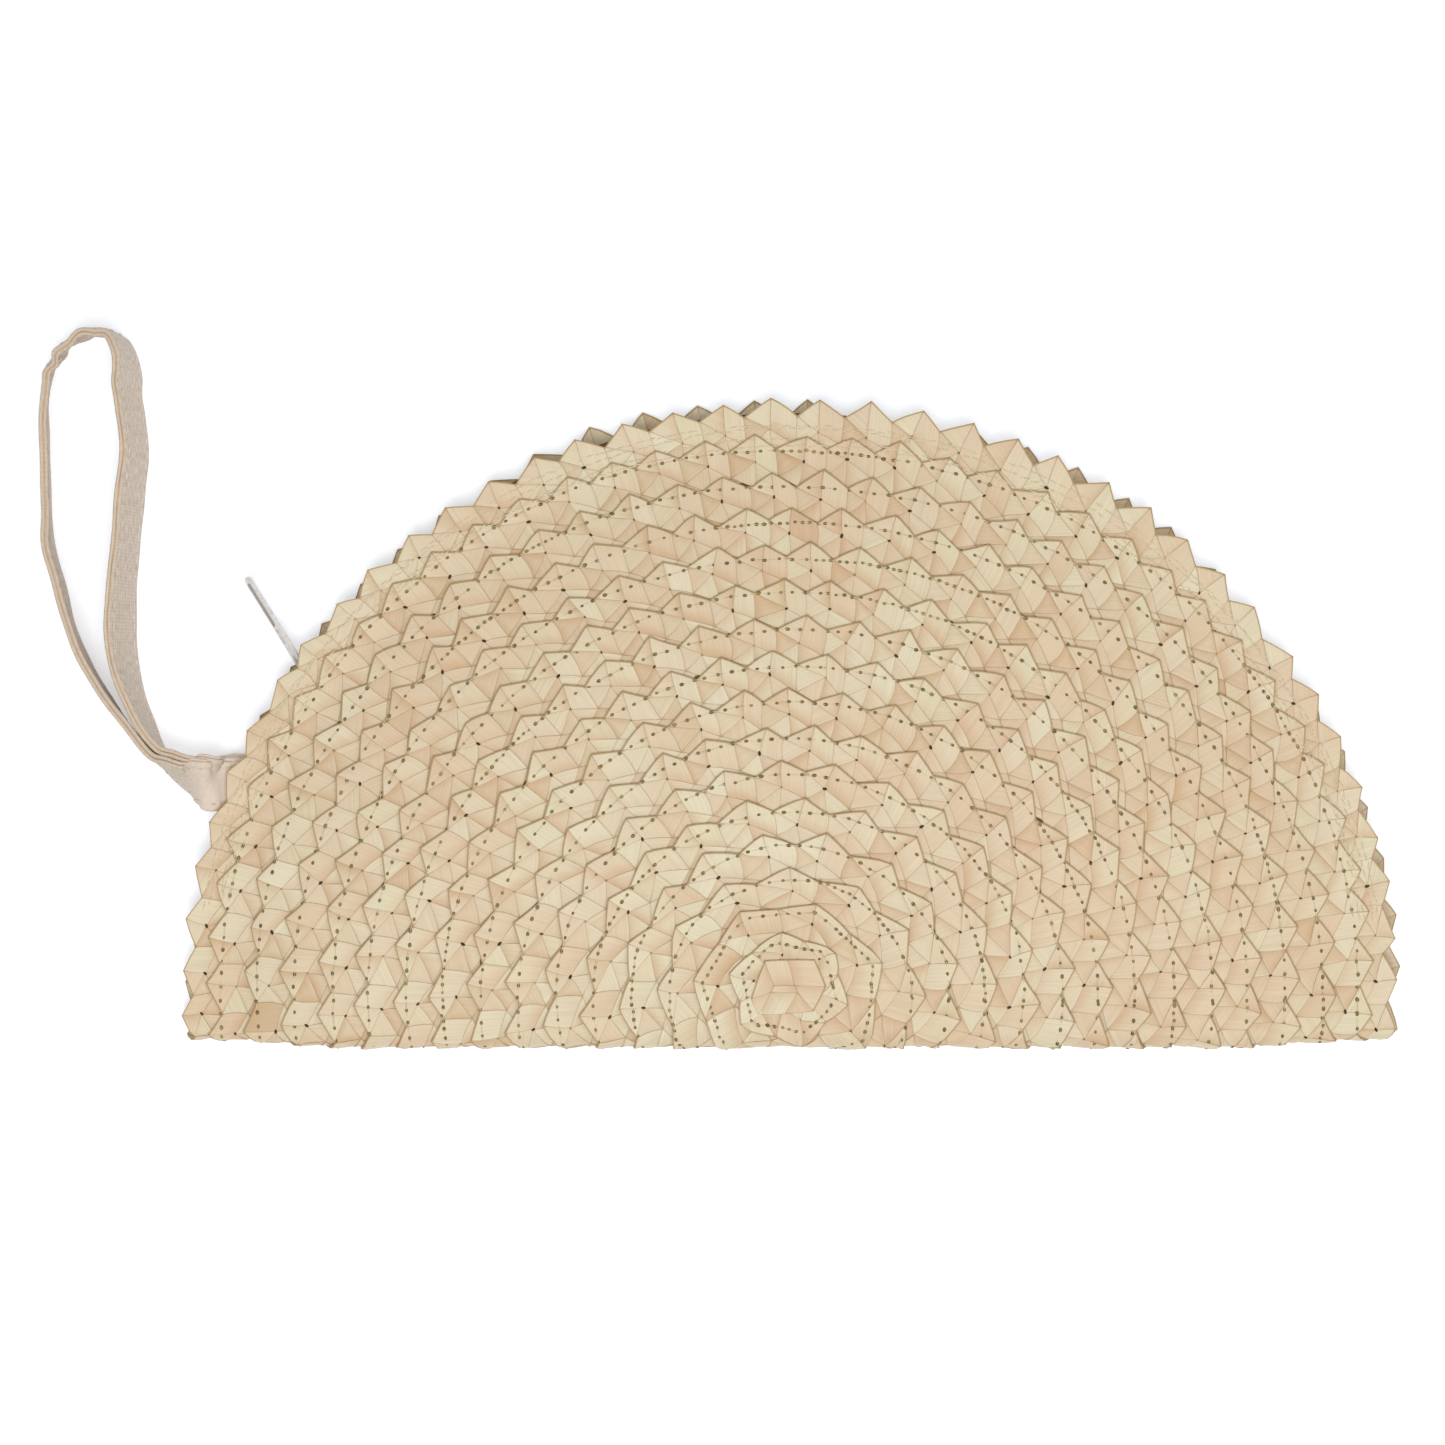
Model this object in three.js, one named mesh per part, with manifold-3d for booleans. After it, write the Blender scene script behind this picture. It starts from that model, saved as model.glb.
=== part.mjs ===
// Half-moon clutch woven from pandan leaf. A spiral of sawtooth braid is sewn into a disc, the disc is
// folded in half below its centre, and a zip closes the arc. A canvas wrist strap is sewn in at the left.
// Millimetres. The clutch lies on its back: X along the fold, Y from the fold to the arc, Z up.
import * as THREE from "three";
import Module from "manifold-3d";

const wasm = await Module();
wasm.setup();

const degrees = THREE.MathUtils.degToRad;
const { clamp, lerp, smoothstep } = THREE.MathUtils;

// The disc of braid, measured flat from its centre to the tips of the teeth
const RIM_RADIUS = 153.8;
const RIM_ROW_WIDTH = 7.7; // from the rim's tips to the tips of the next row
const ROW_PITCH = 9.33;
const CENTRE_RADIUS = 12; // inside this the braid starts as a small flat rosette
const TOOTH_HEIGHT = 3.3;
const TOOTH_PITCH = 11.64; // along the inner edge of the braid
const BRAID_WIDTH = 12.7; // from the tips to the inner edge, which the next row covers
const FEWEST_TEETH = 6;
const RIM_FIRST_TOOTH = 1.9; // degrees round from +X
const TOOTH_STAGGER = 0.382; // share of a tooth that each row is turned from the last

// Palm leaf: each row is thick along its teeth and thins where the next row laps over it
const LEAF_WALL = 1.2;
const ROW_STEP = 0.9;
const ROW_FLAT = 2; // flat band inside the teeth of the row that the bag rests on
const REST_ROW_SHARE = 0.4; // that row's place, counted inwards from the rim
const INNER_RING_PITCH = 24; // facets of the plain inner face
const CUT_SNAP = 0.01; // corners this close to a cut move onto it

// How round the rim and the rows are, as shares of their radius
const RIM_SHAPE = [
  { waves: 1, share: 0.0042 },
  { waves: 2, share: 0.0055 },
  { waves: 3, share: -0.0042 },
];
const ROW_SHAPE = [{ waves: 2, share: 0.018 }];

// The folded bag
const CENTRE_HEIGHT = 13; // the disc's centre above the folded edge
const FOLD_THICKNESS = 10;
const BEND_CUTS = [-1, -0.5, 0.5, 1]; // creases of the bend, as shares of its length
const TIP_THICKNESS = 6; // where the two rims are sewn together
const MIDDLE_THICKNESS = 17.5;
const DOME_RUN = 72; // from the zip's seam to the full thickness
const FOLD_RUN = 58; // from the fold to the full thickness
const TIP_SHARE = { start: 0.72, end: 0.97, low: 12, high: 42 }; // shares of the rim along X, mm along Y

// Where the back panel's rim stands out behind the front's
const BACK_BULGES = [
  { angle: 109, reach: 2.3, spread: 15 },
  { angle: 8, reach: 2, spread: 13 },
];
const BULGE_FALL = 6; // how fast that dies away towards the centre

// Zip, set inside the teeth
const ZIP_INSET = 8.4; // tips of the teeth to the outer face of the chain
const CHAIN_WIDTH = 4.2;
const CHAIN_THICKNESS = 1.8;
const TAPE_WIDTH = 11;
const TAPE_THICKNESS = 0.6;
const ZIP_RIGHT_ANGLE = 12; // where the zip ends at the right
const ZIP_LEFT_ANGLE = 152; // where its tapes end at the left
const SLIDER_ANGLE = 146.1;
const TAPE_FACET = 11; // length of the straight pieces that make its curve
const CHAIN_FACET = 9;
const CLEARANCE = 0.3;

// Slider and its bail
const SLIDER_LENGTH = 9.5;
const SLIDER_PLATE = 0.9;
const SHIELD_TAPER = { nose: 0.45, tail: 0.55, noseWidth: 0.32, tailWidth: 0.36 }; // shares of its size
const DIVIDER_LENGTH = 2.2;
const DIVIDER_WIDTH = 2.4;
const BAIL_LENGTH = 6.4;
const BAIL_WIRE = 1;
const BAIL_OPENING = 3.1;
const BAIL_SHOULDER = 0.6; // height where its legs start to bend, as a share of the opening
const BAIL_TOP = 0.4; // straight part of its top, as a share of the opening's width
const PIVOT_HEIGHT = 1.9; // pull's crossbar above the slider

// Pull tab
const PULL_LENGTH = 29;
const PULL_WIDTH = 4.8;
const PULL_THICKNESS = 1;
const PULL_ARM = 1.15; // metal beside the eye and the slot
const PULL_EYE_LENGTH = 5;
const PULL_WEB_LENGTH = 9.5;
const PULL_TIP = 1.6;
const PULL_CORNER = 0.4;
const PULL_DIRECTION = 121.9; // degrees round from +X
const PULL_ROLL = 20; // its upper edge leans to the right of its direction

// Wrist strap of folded canvas
const STRAP_WIDTH = 14.5;
const STRAP_THICKNESS = 2.2;
const STRAP_REACH = 114.7; // from the seam to the top of the loop
const STRAP_TAIL = 9; // length of the sewn ends inside the seam
const STRAP_EDGE = 0.5; // rounding of its long edges
const STRAP_SEAM_ANGLE = 158.6;
const STRAP_SEAM_INSET = 2.2; // from the tips of the teeth
const STRAP_ENTRY_ANGLE = -9.6; // way its ends run in, degrees round from +X
const STRAP_LIFT_START = 0.35; // how flat it lies where it starts to rise to the seam, as a share
const STRAP_TURN_TENSION = 0.4;
const STRAP_STEPS = 60;
// Route of the loop as shares of its reach. At a turn of 0 the strap stands on edge, at 90 it lies flat.
const STRAP_ENDS = [
  { across: 0, up: 0, turn: 90 },
  { across: -0.03, up: -0.001, turn: 88 },
  { across: -0.06, up: 0.001, turn: 56 },
  { across: -0.095, up: 0.018, turn: 27 },
  { across: -0.135, up: 0.042, turn: 13 },
  { across: -0.166, up: 0.062, turn: 3 },
];
const STRAP_LOOP = [
  { across: -0.223, up: 0.108, turn: 5 },
  { across: -0.277, up: 0.181, turn: 4 },
  { across: -0.326, up: 0.263, turn: 3 },
  { across: -0.361, up: 0.347, turn: 2.5 },
  { across: -0.384, up: 0.436, turn: 2 },
  { across: -0.407, up: 0.52, turn: 3 },
  { across: -0.411, up: 0.593, turn: 5 },
  { across: -0.416, up: 0.752, turn: 7 },
  { across: -0.416, up: 0.841, turn: 8 },
  { across: -0.405, up: 0.903, turn: 8 },
  { across: -0.383, up: 0.947, turn: 7 },
  { across: -0.35, up: 0.978, turn: 6 },
  { across: -0.31, up: 0.993, turn: 4 },
  { across: -0.272, up: 0.992, turn: 5 },
  { across: -0.246, up: 0.962, turn: 10 },
  { across: -0.232, up: 0.907, turn: 15 },
  { across: -0.226, up: 0.823, turn: 18 },
  { across: -0.219, up: 0.741, turn: 17 },
  { across: -0.226, up: 0.648, turn: 17 },
  { across: -0.235, up: 0.538, turn: 17 },
  { across: -0.246, up: 0.42, turn: 19 },
  { across: -0.246, up: 0.299, turn: 20 },
  { across: -0.23, up: 0.219, turn: 15 },
  { across: -0.2, up: 0.14, turn: 8 },
];

const LEAF_COLOUR = 0xdcc79c;
const TAPE_COLOUR = 0xe8e2d2;
const ENAMEL_COLOUR = 0xf1eeea;
const CANVAS_COLOUR = 0xd8cbb8;

// Sizes that follow from those above
const wall = LEAF_WALL + ROW_STEP;
const bendLength = (Math.PI / 2) * (FOLD_THICKNESS / 2 - ROW_STEP);
const foldToCentre = CENTRE_HEIGHT - FOLD_THICKNESS / 2 + bendLength;
const rimThickness = CHAIN_WIDTH + 2 * TAPE_THICKNESS + 2 * wall + 4 * CLEARANCE;
const tapeOffset = CHAIN_WIDTH / 2 + CLEARANCE;

function shapeAt(waves, angle) {
  return waves.reduce((sum, wave) => sum + wave.share * Math.cos(wave.waves * angle), 1);
}

// Radius of the real, slightly oval disc at a nominal radius
function discRadius(radius, angle) {
  const rimShare = clamp((radius - RIM_RADIUS + RIM_ROW_WIDTH) / RIM_ROW_WIDTH, 0, 1);
  return radius * lerp(shapeAt(ROW_SHAPE, angle), shapeAt(RIM_SHAPE, angle), rimShare);
}

// Thickness of the bag over the point at x along the fold and s from it, measured on the panel
function thicknessAt(x, s) {
  const share = Math.abs(x) / RIM_RADIUS;
  const nearTip = smoothstep(share, TIP_SHARE.start, TIP_SHARE.end);
  const tip = nearTip * (1 - smoothstep(s, TIP_SHARE.low, TIP_SHARE.high));
  const folded = 1 - smoothstep(s, bendLength, FOLD_RUN);
  const edge = lerp(lerp(rimThickness, FOLD_THICKNESS, folded), TIP_THICKNESS, tip);
  const centre = s - foldToCentre;
  const fromSeam = RIM_RADIUS * shapeAt(RIM_SHAPE, Math.atan2(centre, x)) - Math.hypot(x, centre);
  const inwards = clamp((fromSeam - ZIP_INSET - TAPE_WIDTH / 2) / DOME_RUN, 0, 1);
  const upwards = clamp((s - bendLength) / FOLD_RUN, 0, 1);
  const dome = inwards * (2 - inwards) * upwards * (2 - upwards);
  return edge + (MIDDLE_THICKNESS - edge) * dome;
}

// The back is the smaller part of the disc, eased out until it has the front's outline. Each row there is
// an arc through the two points where it crosses the fold.
function backPlace(x, y) {
  const rimBelow = discRadius(RIM_RADIUS, -Math.PI / 2);
  const stretch = (rimBelow + foldToCentre) / (rimBelow - foldToCentre);
  const radius = Math.hypot(x, y);
  const reach = Math.sqrt(Math.max(radius * radius - foldToCentre * foldToCentre, 0));
  const height = stretch * (radius - foldToCentre);
  if (height < 1e-6) return { x, s: 0 };
  const arcRadius = (reach * reach + height * height) / (2 * height);
  const arcCentre = height - arcRadius;
  const widest = Math.acos(foldToCentre / radius);
  const turn = (Math.atan2(x, -y) * Math.acos(-arcCentre / arcRadius)) / widest;
  let placed = { x: arcRadius * Math.sin(turn), s: arcCentre + arcRadius * Math.cos(turn) };
  const angle = THREE.MathUtils.radToDeg(Math.atan2(placed.s - foldToCentre, placed.x));
  for (const bulge of BACK_BULGES) {
    const near = Math.exp(-(((angle - bulge.angle) / bulge.spread) ** 2));
    const push = bulge.reach * near * Math.pow(radius / RIM_RADIUS, BULGE_FALL);
    const away = degrees(bulge.angle);
    placed = { x: placed.x + push * Math.cos(away), s: placed.s + push * Math.sin(away) };
  }
  return placed;
}

// Folds a point of the two open panels. s is its distance from the fold, negative on the back, and
// offset is its height over the panel's base face, towards the outside of the bag.
function foldedPoint(x, s, offset) {
  const distance = Math.abs(s);
  const axisY = FOLD_THICKNESS / 2;
  if (distance < bendLength) {
    const half = thicknessAt(x, 0) / 2;
    const turn = ((Math.PI / 2) * s) / bendLength;
    const radius = half - ROW_STEP + offset;
    return new THREE.Vector3(x, axisY - radius * Math.cos(turn), half + radius * Math.sin(turn));
  }
  const y = axisY + distance - bendLength;
  const z = s < 0 ? ROW_STEP - offset : thicknessAt(x, distance) - ROW_STEP + offset;
  return new THREE.Vector3(x, y, z);
}

// A place between the rims: angle round the disc's centre, distance inside the tips
function rimPlace(angle, inset) {
  const radius = RIM_RADIUS * shapeAt(RIM_SHAPE, angle) - inset;
  const x = radius * Math.cos(angle);
  const s = radius * Math.sin(angle) + foldToCentre;
  return { x, s, y: FOLD_THICKNESS / 2 + s - bendLength };
}

function meshGeometry(points, triangles) {
  const geometry = new THREE.BufferGeometry();
  const corners = points.flatMap((point) => point.toArray());
  geometry.setAttribute("position", new THREE.Float32BufferAttribute(corners, 3));
  geometry.setIndex(triangles.flat());
  return geometry;
}

// Flat disc of braid as a closed mesh of points with x, y and offset
class BraidDisc {
  constructor() {
    this.points = [];
    this.triangles = [];
  }

  addPoint(radius, angle, offset) {
    const real = discRadius(radius, angle);
    this.points.push({ x: real * Math.cos(angle), s: real * Math.sin(angle), offset });
    return this.points.length - 1;
  }

  addRing(count, turn, radiusOf, offset) {
    const ring = [];
    for (let i = 0; i < count; i += 1) {
      const angle = (turn + (2 * Math.PI * i) / count + 4 * Math.PI) % (2 * Math.PI);
      ring.push({ angle, index: this.addPoint(radiusOf(i), angle, offset) });
    }
    return ring.sort((a, b) => a.angle - b.angle);
  }

  addTeeth(row, offset) {
    const radiusOf = (i) => row.tip - (i % 2) * TOOTH_HEIGHT;
    return this.addRing(2 * row.teeth, row.turn, radiusOf, offset);
  }

  // Joins an outer ring to the ring inside it, always across the shorter way, facing up unless turned over
  bridge(outer, inner, over = false) {
    const circle = 2 * Math.PI;
    const start = outer[0].angle;
    const fromStart = (point) => ((point.angle - start + 3 * circle + Math.PI) % circle) - Math.PI;
    const nearest = inner.reduce((best, point) =>
      Math.abs(fromStart(point)) < Math.abs(fromStart(best)) ? point : best,
    );
    const first = inner.indexOf(nearest);
    const turned = [...inner.slice(first), ...inner.slice(0, first)];
    const outerAngles = [...outer.map((point) => point.angle - start), circle];
    const innerAngles = turned.map((point) => {
      const ahead = (point.angle - nearest.angle + circle) % circle;
      return fromStart(nearest) + ahead;
    });
    innerAngles.push(innerAngles[0] + circle);
    let i = 0;
    let j = 0;
    while (i < outer.length || j < inner.length) {
      const acrossOuter = i < outer.length ? Math.abs(outerAngles[i + 1] - innerAngles[j]) : Infinity;
      const acrossInner = j < inner.length ? Math.abs(innerAngles[j + 1] - outerAngles[i]) : Infinity;
      const takesOuter = acrossOuter <= acrossInner;
      const a = outer[i % outer.length].index;
      const b = turned[j % inner.length].index;
      const c = takesOuter ? outer[(i + 1) % outer.length].index : turned[(j + 1) % inner.length].index;
      this.triangles.push(over ? [b, c, a] : [a, c, b]);
      if (takesOuter) i += 1;
      else j += 1;
    }
  }

  close(ring, offset, over = false) {
    const centre = this.addPoint(0, 0, offset);
    ring.forEach((spoke, i) => {
      const next = ring[(i + 1) % ring.length].index;
      this.triangles.push(over ? [centre, next, spoke.index] : [spoke.index, next, centre]);
    });
  }

  // Cuts every triangle that crosses the line s = level
  splitAt(level) {
    for (const point of this.points) {
      if (Math.abs(point.s - level) < CUT_SNAP) point.s = level;
    }
    const sides = this.points.map((point) => Math.sign(point.s - level));
    const cuts = new Map();
    const cutBetween = (i, j) => {
      const key = i < j ? `${i} ${j}` : `${j} ${i}`;
      if (!cuts.has(key)) {
        const [a, b] = [this.points[Math.min(i, j)], this.points[Math.max(i, j)]];
        const share = (level - a.s) / (b.s - a.s);
        this.points.push({ x: lerp(a.x, b.x, share), s: level, offset: lerp(a.offset, b.offset, share) });
        cuts.set(key, this.points.length - 1);
      }
      return cuts.get(key);
    };
    const kept = [];
    for (const triangle of this.triangles) {
      const loop = [];
      triangle.forEach((index, k) => {
        const next = triangle[(k + 1) % 3];
        loop.push(index);
        if (sides[index] * sides[next] < 0) loop.push(cutBetween(index, next));
      });
      const isAbove = (index) => index >= sides.length || sides[index] >= 0;
      const isBelow = (index) => index >= sides.length || sides[index] <= 0;
      const parts = loop.length === 3 ? [loop] : [loop.filter(isAbove), loop.filter(isBelow)];
      for (const part of parts) {
        for (let k = 2; k < part.length; k += 1) kept.push([part[0], part[k - 1], part[k]]);
      }
    }
    this.triangles = kept;
  }
}

function braidRows() {
  const rows = [];
  let tip = RIM_RADIUS;
  while (tip > CENTRE_RADIUS) {
    const innerEdge = 2 * Math.PI * (tip - BRAID_WIDTH);
    const teeth = Math.max(FEWEST_TEETH, Math.round(innerEdge / TOOTH_PITCH));
    const turn = degrees(RIM_FIRST_TOOTH) + (rows.length * TOOTH_STAGGER * 2 * Math.PI) / teeth;
    rows.push({ tip, teeth, turn });
    tip -= rows.length === 1 ? RIM_ROW_WIDTH : ROW_PITCH;
  }
  return rows;
}

// The row whose flat band the bag rests on
function restingRow(rows) {
  return rows[Math.round(rows.length * REST_ROW_SHARE)];
}

function wovenBody() {
  const disc = new BraidDisc();
  const rows = braidRows();
  const addFlat = (row, offset) => {
    const radius = row.tip - TOOTH_HEIGHT - ROW_FLAT;
    return disc.addRing(row.teeth, row.turn + Math.PI / row.teeth, () => radius, offset);
  };
  const rimEdge = disc.addTeeth(rows[0], -LEAF_WALL);
  let outside = rimEdge;
  for (const row of rows) {
    if (row !== rows[0]) {
      const foot = disc.addTeeth(row, 0);
      disc.bridge(outside, foot);
      outside = foot;
    }
    const top = disc.addTeeth(row, ROW_STEP);
    disc.bridge(outside, top);
    outside = top;
    if (row === restingRow(rows)) {
      outside = addFlat(row, ROW_STEP);
      disc.bridge(top, outside);
    }
  }
  disc.close(outside, ROW_STEP);

  let inside = addFlat(rows[0], -LEAF_WALL);
  disc.bridge(rimEdge, inside, true);
  const rings = Math.round(RIM_RADIUS / INNER_RING_PITCH);
  for (let ring = rings - 1; ring > 0; ring -= 1) {
    const radius = (RIM_RADIUS * ring) / rings;
    const count = Math.max(2 * FEWEST_TEETH, Math.round((2 * Math.PI * radius) / INNER_RING_PITCH));
    const circle = disc.addRing(count, 0, () => radius, -LEAF_WALL);
    disc.bridge(inside, circle, true);
    inside = circle;
  }
  disc.close(inside, -LEAF_WALL, true);

  disc.splitAt(-foldToCentre);
  for (const point of disc.points) {
    const s = point.s + foldToCentre;
    if (s < 0) {
      const placed = backPlace(point.x, point.s);
      point.x = placed.x;
      point.s = -placed.s;
    } else {
      point.s = s;
    }
  }
  for (const share of BEND_CUTS) disc.splitAt(share * bendLength);
  const points = disc.points.map((point) => foldedPoint(point.x, point.s, point.offset));
  return meshGeometry(points, disc.triangles);
}

// Closed strip swept along stations, each a ring of the same number of points
function sweptGeometry(rings, closed) {
  const size = rings[0].length;
  const triangles = [];
  const last = closed ? rings.length : rings.length - 1;
  for (let i = 0; i < last; i += 1) {
    const from = i * size;
    const to = ((i + 1) % rings.length) * size;
    for (let k = 0; k < size; k += 1) {
      const next = (k + 1) % size;
      triangles.push([from + k, from + next, to + next], [from + k, to + next, to + k]);
    }
  }
  if (!closed) {
    const end = (rings.length - 1) * size;
    for (let k = 2; k < size; k += 1) {
      triangles.push([0, k, k - 1], [end, end + k - 1, end + k]);
    }
  }
  return meshGeometry(rings.flat(), triangles);
}

function anglesBetween(start, end, pitch) {
  const steps = Math.max(2, Math.ceil((Math.abs(end - start) * RIM_RADIUS) / pitch));
  return Array.from({ length: steps + 1 }, (_, i) => lerp(start, end, i / steps));
}

// Tape that lies along a panel's inner face. side is 1 on the front and -1 on the back.
function zipTape(side) {
  const angles = anglesBetween(degrees(ZIP_LEFT_ANGLE), degrees(ZIP_RIGHT_ANGLE), TAPE_FACET);
  const rings = angles.map((angle) => {
    const faces = [0, 0.5, 1].map((share) => {
      const place = rimPlace(angle, ZIP_INSET + share * TAPE_WIDTH);
      const panel = side > 0 ? thicknessAt(place.x, place.s) - wall : wall;
      const face = panel - side * CLEARANCE;
      return [
        new THREE.Vector3(place.x, place.y, face),
        new THREE.Vector3(place.x, place.y, face - side * TAPE_THICKNESS),
      ];
    });
    const outer = faces.map((face) => face[0]);
    const inner = faces.map((face) => face[1]).reverse();
    const ring = [...outer, ...inner];
    return side > 0 ? ring : ring.reverse();
  });
  return sweptGeometry(rings, false);
}

function chainMiddle(angle) {
  const place = rimPlace(angle, ZIP_INSET + CHAIN_THICKNESS / 2);
  return thicknessAt(place.x, place.s) / 2;
}

function zipChain() {
  const chainRadius = RIM_RADIUS - ZIP_INSET;
  const end = degrees(SLIDER_ANGLE) + (SLIDER_LENGTH / 2 - DIVIDER_LENGTH - CLEARANCE) / chainRadius;
  const rings = anglesBetween(end, degrees(ZIP_RIGHT_ANGLE), CHAIN_FACET).map((angle) => {
    const outer = rimPlace(angle, ZIP_INSET);
    const inner = rimPlace(angle, ZIP_INSET + CHAIN_THICKNESS);
    const low = chainMiddle(angle) - CHAIN_WIDTH / 2;
    const high = low + CHAIN_WIDTH;
    return [
      new THREE.Vector3(outer.x, outer.y, high),
      new THREE.Vector3(inner.x, inner.y, high),
      new THREE.Vector3(inner.x, inner.y, low),
      new THREE.Vector3(outer.x, outer.y, low),
    ];
  });
  return sweptGeometry(rings, false);
}

function solidOf(geometry) {
  const bare = geometry.index ? geometry.toNonIndexed() : geometry;
  const position = bare.getAttribute("position");
  const seen = new Map();
  const vertices = [];
  const triangles = [];
  for (let i = 0; i < position.count; i += 1) {
    const corner = [position.getX(i), position.getY(i), position.getZ(i)];
    const key = corner.map((value) => value.toFixed(4)).join(" ");
    if (!seen.has(key)) {
      seen.set(key, seen.size);
      vertices.push(...corner);
    }
    triangles.push(seen.get(key));
  }
  return new wasm.Manifold(
    new wasm.Mesh({
      numProp: 3,
      vertProperties: new Float32Array(vertices),
      triVerts: new Uint32Array(triangles),
    }),
  );
}

function geometryOf(solid) {
  const mesh = solid.getMesh();
  const geometry = new THREE.BufferGeometry();
  geometry.setAttribute("position", new THREE.BufferAttribute(new Float32Array(mesh.vertProperties), 3));
  geometry.setIndex(new THREE.BufferAttribute(new Uint32Array(mesh.triVerts), 1));
  return geometry;
}

function block(length, height, width, x, y) {
  return solidOf(new THREE.BoxGeometry(length, height, width).translate(x, y, 0));
}

// Slider about the middle of the chain's outer face: X along the closed chain, Y out of the bag
function zipSlider() {
  const outerWidth = 2 * (tapeOffset + TAPE_THICKNESS);
  const half = SLIDER_LENGTH / 2;
  const shield = new THREE.Shape();
  shield.moveTo(-half, -SHIELD_TAPER.noseWidth * outerWidth);
  shield.quadraticCurveTo(-half, -outerWidth / 2, -SHIELD_TAPER.nose * half, -outerWidth / 2);
  shield.lineTo(SHIELD_TAPER.tail * half, -outerWidth / 2);
  shield.lineTo(half, -SHIELD_TAPER.tailWidth * outerWidth);
  shield.lineTo(half, SHIELD_TAPER.tailWidth * outerWidth);
  shield.lineTo(SHIELD_TAPER.tail * half, outerWidth / 2);
  shield.lineTo(-SHIELD_TAPER.nose * half, outerWidth / 2);
  shield.quadraticCurveTo(-half, outerWidth / 2, -half, SHIELD_TAPER.noseWidth * outerWidth);
  const flat = new THREE.ExtrudeGeometry(shield, {
    depth: SLIDER_PLATE,
    bevelEnabled: false,
    curveSegments: 3,
  });
  const outerPlate = solidOf(flat.rotateX(-Math.PI / 2).translate(0, CLEARANCE, 0));
  const innerFace = -CHAIN_THICKNESS - CLEARANCE;
  const innerPlate = block(SLIDER_LENGTH, SLIDER_PLATE, CHAIN_WIDTH, 0, innerFace - SLIDER_PLATE / 2);
  const dividerHeight = CHAIN_THICKNESS + 2 * CLEARANCE + SLIDER_PLATE;
  const dividerY = (CLEARANCE + innerFace) / 2;
  const divider = block(DIVIDER_LENGTH, dividerHeight, DIVIDER_WIDTH, -half + DIVIDER_LENGTH / 2, dividerY);

  const bail = new THREE.Shape();
  const reach = BAIL_LENGTH / 2;
  const inner = reach - BAIL_WIRE;
  bail.moveTo(-reach, -SLIDER_PLATE / 2);
  bail.lineTo(-inner, -SLIDER_PLATE / 2);
  bail.lineTo(-inner, BAIL_SHOULDER * BAIL_OPENING);
  bail.quadraticCurveTo(-inner, BAIL_OPENING, -BAIL_TOP * inner, BAIL_OPENING);
  bail.lineTo(BAIL_TOP * inner, BAIL_OPENING);
  bail.quadraticCurveTo(inner, BAIL_OPENING, inner, BAIL_SHOULDER * BAIL_OPENING);
  bail.lineTo(inner, -SLIDER_PLATE / 2);
  bail.lineTo(reach, -SLIDER_PLATE / 2);
  bail.lineTo(reach, BAIL_SHOULDER * BAIL_OPENING);
  bail.quadraticCurveTo(reach, BAIL_OPENING + BAIL_WIRE, BAIL_TOP * inner, BAIL_OPENING + BAIL_WIRE);
  bail.lineTo(-BAIL_TOP * inner, BAIL_OPENING + BAIL_WIRE);
  bail.quadraticCurveTo(-reach, BAIL_OPENING + BAIL_WIRE, -reach, BAIL_SHOULDER * BAIL_OPENING);
  const arch = new THREE.ExtrudeGeometry(bail, { depth: BAIL_WIRE, bevelEnabled: false, curveSegments: 4 });
  const archSolid = solidOf(arch.translate(0, CLEARANCE + SLIDER_PLATE, -BAIL_WIRE / 2));
  return geometryOf(outerPlate.add(innerPlate).add(divider).add(archSolid));
}

function roundedSlot(x, length, width) {
  const slot = new THREE.Path();
  const radius = width / 2;
  slot.absarc(x + radius, 0, radius, Math.PI / 2, (3 * Math.PI) / 2, false);
  slot.absarc(x + length - radius, 0, radius, -Math.PI / 2, Math.PI / 2, false);
  slot.closePath();
  return slot;
}

// Pull about its pivot: X along the tab, Y across it, Z through it
function zipPull() {
  const half = PULL_WIDTH / 2;
  const start = -PULL_ARM / 2;
  const outline = new THREE.Shape();
  outline.moveTo(start, -half + PULL_CORNER);
  outline.lineTo(start + PULL_CORNER, -half);
  outline.lineTo(PULL_LENGTH - half, -half);
  outline.absarc(PULL_LENGTH - half, 0, half, -Math.PI / 2, Math.PI / 2, false);
  outline.lineTo(start + PULL_CORNER, half);
  outline.lineTo(start, half - PULL_CORNER);
  outline.closePath();
  const opening = PULL_WIDTH - 2 * PULL_ARM;
  const slotStart = PULL_EYE_LENGTH + PULL_WEB_LENGTH;
  const slotLength = PULL_LENGTH - PULL_TIP - slotStart;
  outline.holes.push(roundedSlot(PULL_ARM / 2, PULL_EYE_LENGTH, opening));
  outline.holes.push(roundedSlot(slotStart, slotLength, opening));
  const tab = new THREE.ExtrudeGeometry(outline, {
    depth: PULL_THICKNESS,
    bevelEnabled: false,
    curveSegments: 6,
  });
  return tab.translate(0, 0, -PULL_THICKNESS / 2);
}

// One cross-section of the strap: width runs along one way, thickness along the other
function strapRing(centre, widthWay, thickWay) {
  const w = STRAP_WIDTH / 2;
  const t = STRAP_THICKNESS / 2;
  const e = STRAP_EDGE;
  const corners = [
    [w - e, -t],
    [w, -t + e],
    [w, t - e],
    [w - e, t],
    [-w + e, t],
    [-w, t - e],
    [-w, -t + e],
    [-w + e, -t],
  ];
  return corners.map(([a, b]) =>
    centre.clone().addScaledVector(widthWay, a).addScaledVector(thickWay, b),
  );
}

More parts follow.
